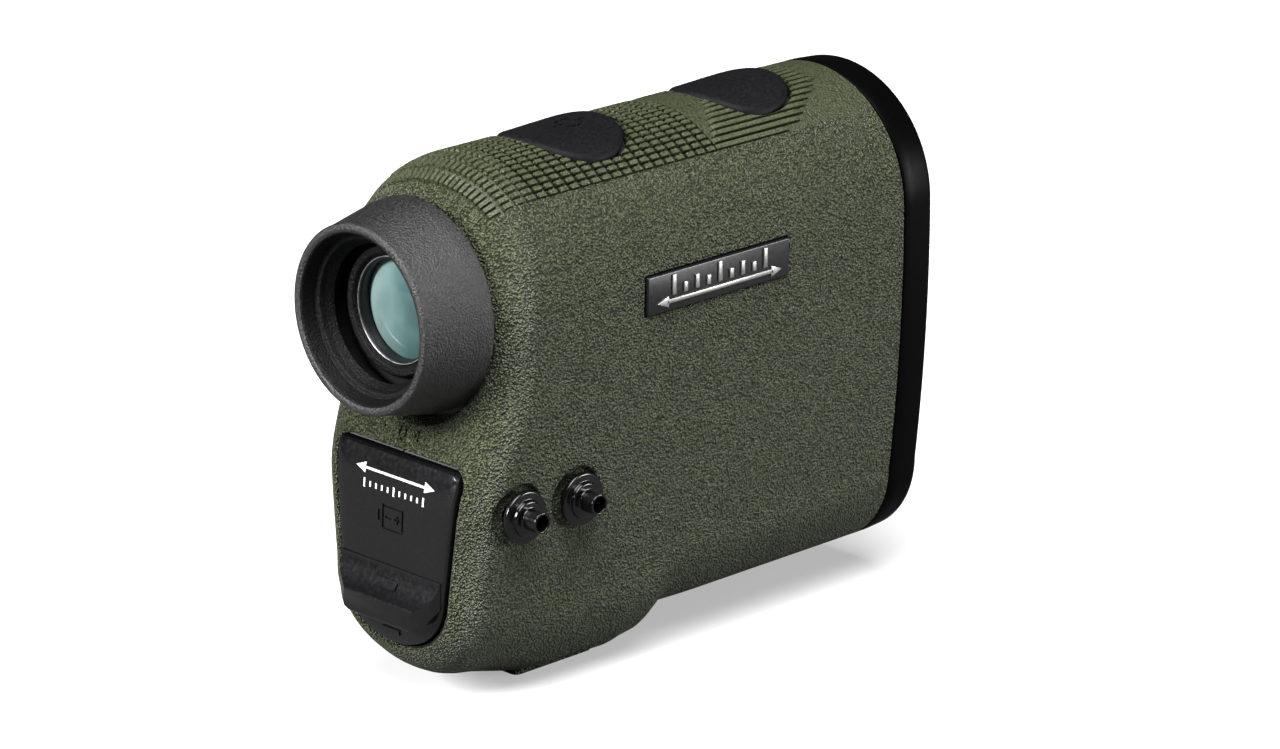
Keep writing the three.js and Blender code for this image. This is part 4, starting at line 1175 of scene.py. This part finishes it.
plain_skin = skin("plain_skin")
stand_in(make_armour(plain_skin), "rubber_armour", LOOKS["armour_rubber"]).name = "armour_skin"
for key, icon in zip(KEYS, (target_icon, bars_icon)):
    stand_in(make_key(key, icon(key.x + 2.0, 0)), key.node, LOOKS["key_plastic"]).name = key.node + "_cap"
stand_in(make_bezel(), "front_bezel", LOOKS["bezel_plastic"]).name = "bezel_frame"
for side, node in ((-1, "badge_right"), (1, "badge_left")):
    badge, marks = make_badge(side)
    stand_in(badge, node, LOOKS["badge_plate"]).name = node + "_plate"
    trim(marks, node, SILVER).name = node + "_scale"
for node, x in STUDS:
    stand_in(make_stud(x), node, LOOKS["stud_metal"]).name = node + "_turned"

stand_in(make_eyecup(), "rubber_eyecup", LOOKS["eyecup_rubber"]).name = "eyecup_moulding"
stand_in(make_eye_cell(), "eye_lens_cell", LOOKS["eyecup_rubber"]).name = "eye_cell_turned"
stand_in(make_retaining_ring(), "eye_lens_retaining_ring", LOOKS["black_anodised"]).name = "eye_ring_turned"
# painted highlight: a thin bright steel ring on the black retaining ring's inner edge
highlight_ring = lathe("eye_ring_painted_highlight", tube_profile(-26.86, -26.7, 7.45, 7.6, 0.04))
trim(highlight_ring, "eye_lens_retaining_ring", LOOKS["bright_steel"])
eye_lens = lathe("eye_lens_polished", lens_profile(-24.85, -1.6, -21.6, 0.4, 7.3))
stand_in(eye_lens, "eye_lens", EYE_GLASS)

door = make_door(plain_skin)
marks, bars = door_marks(door), lip_bars(door)
stand_in(door, "battery_door", LOOKS["door_plastic"]).name = "battery_door_moulding"
trim(marks, "battery_door", WHITE)
trim(bars, "battery_door", LOOKS["door_plastic"])
stand_in(make_battery_tube(), "battery_tube", LOOKS["housing_plastic"]).name = "battery_tube_moulding"
stand_in(make_battery(), "battery_cell", LOOKS["battery_can"]).name = "battery_cell_can"
stand_in(make_contact_spring(), "door_contact_spring", LOOKS["contact_brass"]).name = "contact_spring_coil"
gasket = lathe("door_gasket_ring", tube_profile(-24.9, -23.9, 9.3, 10.4, 0.3), BATTERY_Z)
stand_in(gasket, "door_gasket", LOOKS["seal_rubber"])

crown = lathe("objective_crown_polished", lens_profile(55.0, -1.2, 56.4, 1.7, 12.0))
stand_in(crown, "objective_crown_lens", LOOKS["optical_glass"])
lock = make_objective_ring(AXIS_Z, 57.4, 58.8, 11.3, 12.0, 4)
stand_in(lock, "objective_retaining_ring", LOOKS["black_anodised"]).name = "objective_lock_ring"
cell_corners = [
    (44, 11.6, 0), (51, 11.6, 0), (51, 12.3, 0), (59.2, 12.3, 0.2), (59.2, 13.4, 0.2), (44, 13.4, 0.2),
]
cell = lathe("objective_cell_turned", filleted(cell_corners, steps=3))
stand_in(cell, "objective_cell", LOOKS["black_anodised"])
window = lathe("emitter_lens_polished", lens_profile(55.2, -0.8, 57.2, 1.2, 6.8), EMITTER_Z)
stand_in(window, "emitter_lens", LOOKS["optical_glass"])
barrel = lathe("emitter_tube_turned", tube_profile(38.2, 59.2, 7.1, 8.2), EMITTER_Z)
stand_in(barrel, "emitter_tube", LOOKS["black_anodised"])
bpy.data.objects.remove(plain_skin)

# ---------- floor, light and camera ----------
TARGET = Vector((19.917, 0, 36.968))


def aimed(thing, azimuth, elevation, distance):
    a, e = math.radians(azimuth), math.radians(elevation)
    back = Vector((math.sin(a) * math.cos(e), -math.cos(a) * math.cos(e), math.sin(e)))
    thing.location = (TARGET + back * distance) * MM
    thing.rotation_euler = (TARGET * MM - thing.location).to_track_quat("-Z", "Y").to_euler()
    return thing


def softbox(name, azimuth, elevation, distance, width, height, watts):
    light = bpy.data.lights.new(name, "AREA")
    light.shape = "RECTANGLE"
    light.size, light.size_y = width * MM, height * MM
    light.energy = watts
    thing = bpy.data.objects.new(name, light)
    bpy.context.scene.collection.objects.link(thing)
    return aimed(thing, azimuth, elevation, distance)


def make_floor():
    reach = 4000
    floor = prism("floor", "z", rectangle(-reach, reach, -reach, reach), -20, -0.02)
    look = Look("floor_paper", roughness=0.9, specular_ior_level=0.0, emission_color=(1, 1, 1, 1))
    seen = look.add("ShaderNodeLightPath").outputs["Is Camera Ray"]
    look.use(base_color=look.ramp(seen, (0.0, 0.12), (1.0, 0.5)))
    look.use(emission_strength=look.maths("MULTIPLY", seen, 0.38))
    floor.data.materials.append(look.material)


def make_world():
    world = bpy.data.worlds.new("studio")
    bpy.context.scene.world = world
    world.use_nodes = True
    nodes, links = world.node_tree.nodes, world.node_tree.links
    paper = nodes["Background"]
    paper.inputs["Color"].default_value = (1, 1, 1, 1)
    seen = nodes.new("ShaderNodeLightPath")
    strength = nodes.new("ShaderNodeMapRange")
    strength.inputs["To Min"].default_value = 0.03
    strength.inputs["To Max"].default_value = 1.0
    links.new(seen.outputs["Is Camera Ray"], strength.inputs["Value"])
    links.new(strength.outputs["Result"], paper.inputs["Strength"])


make_floor()
make_world()
softbox("overhead", -38, 66, 1200, 900, 900, 41)
softbox("right_front", 40, 4, 1000, 260, 420, 12)
softbox("left_rear", -105, 24, 1000, 300, 300, 24)

camera = bpy.data.objects.new("camera", bpy.data.cameras.new("camera"))
camera.data.sensor_width = 36
camera.data.lens = 152.83
camera.data.clip_start = 0.01
bpy.context.scene.collection.objects.link(camera)
aimed(camera, -44.475, 18.238, 776)
bpy.context.scene.camera = camera
bpy.context.scene.view_settings.view_transform = "Standard"
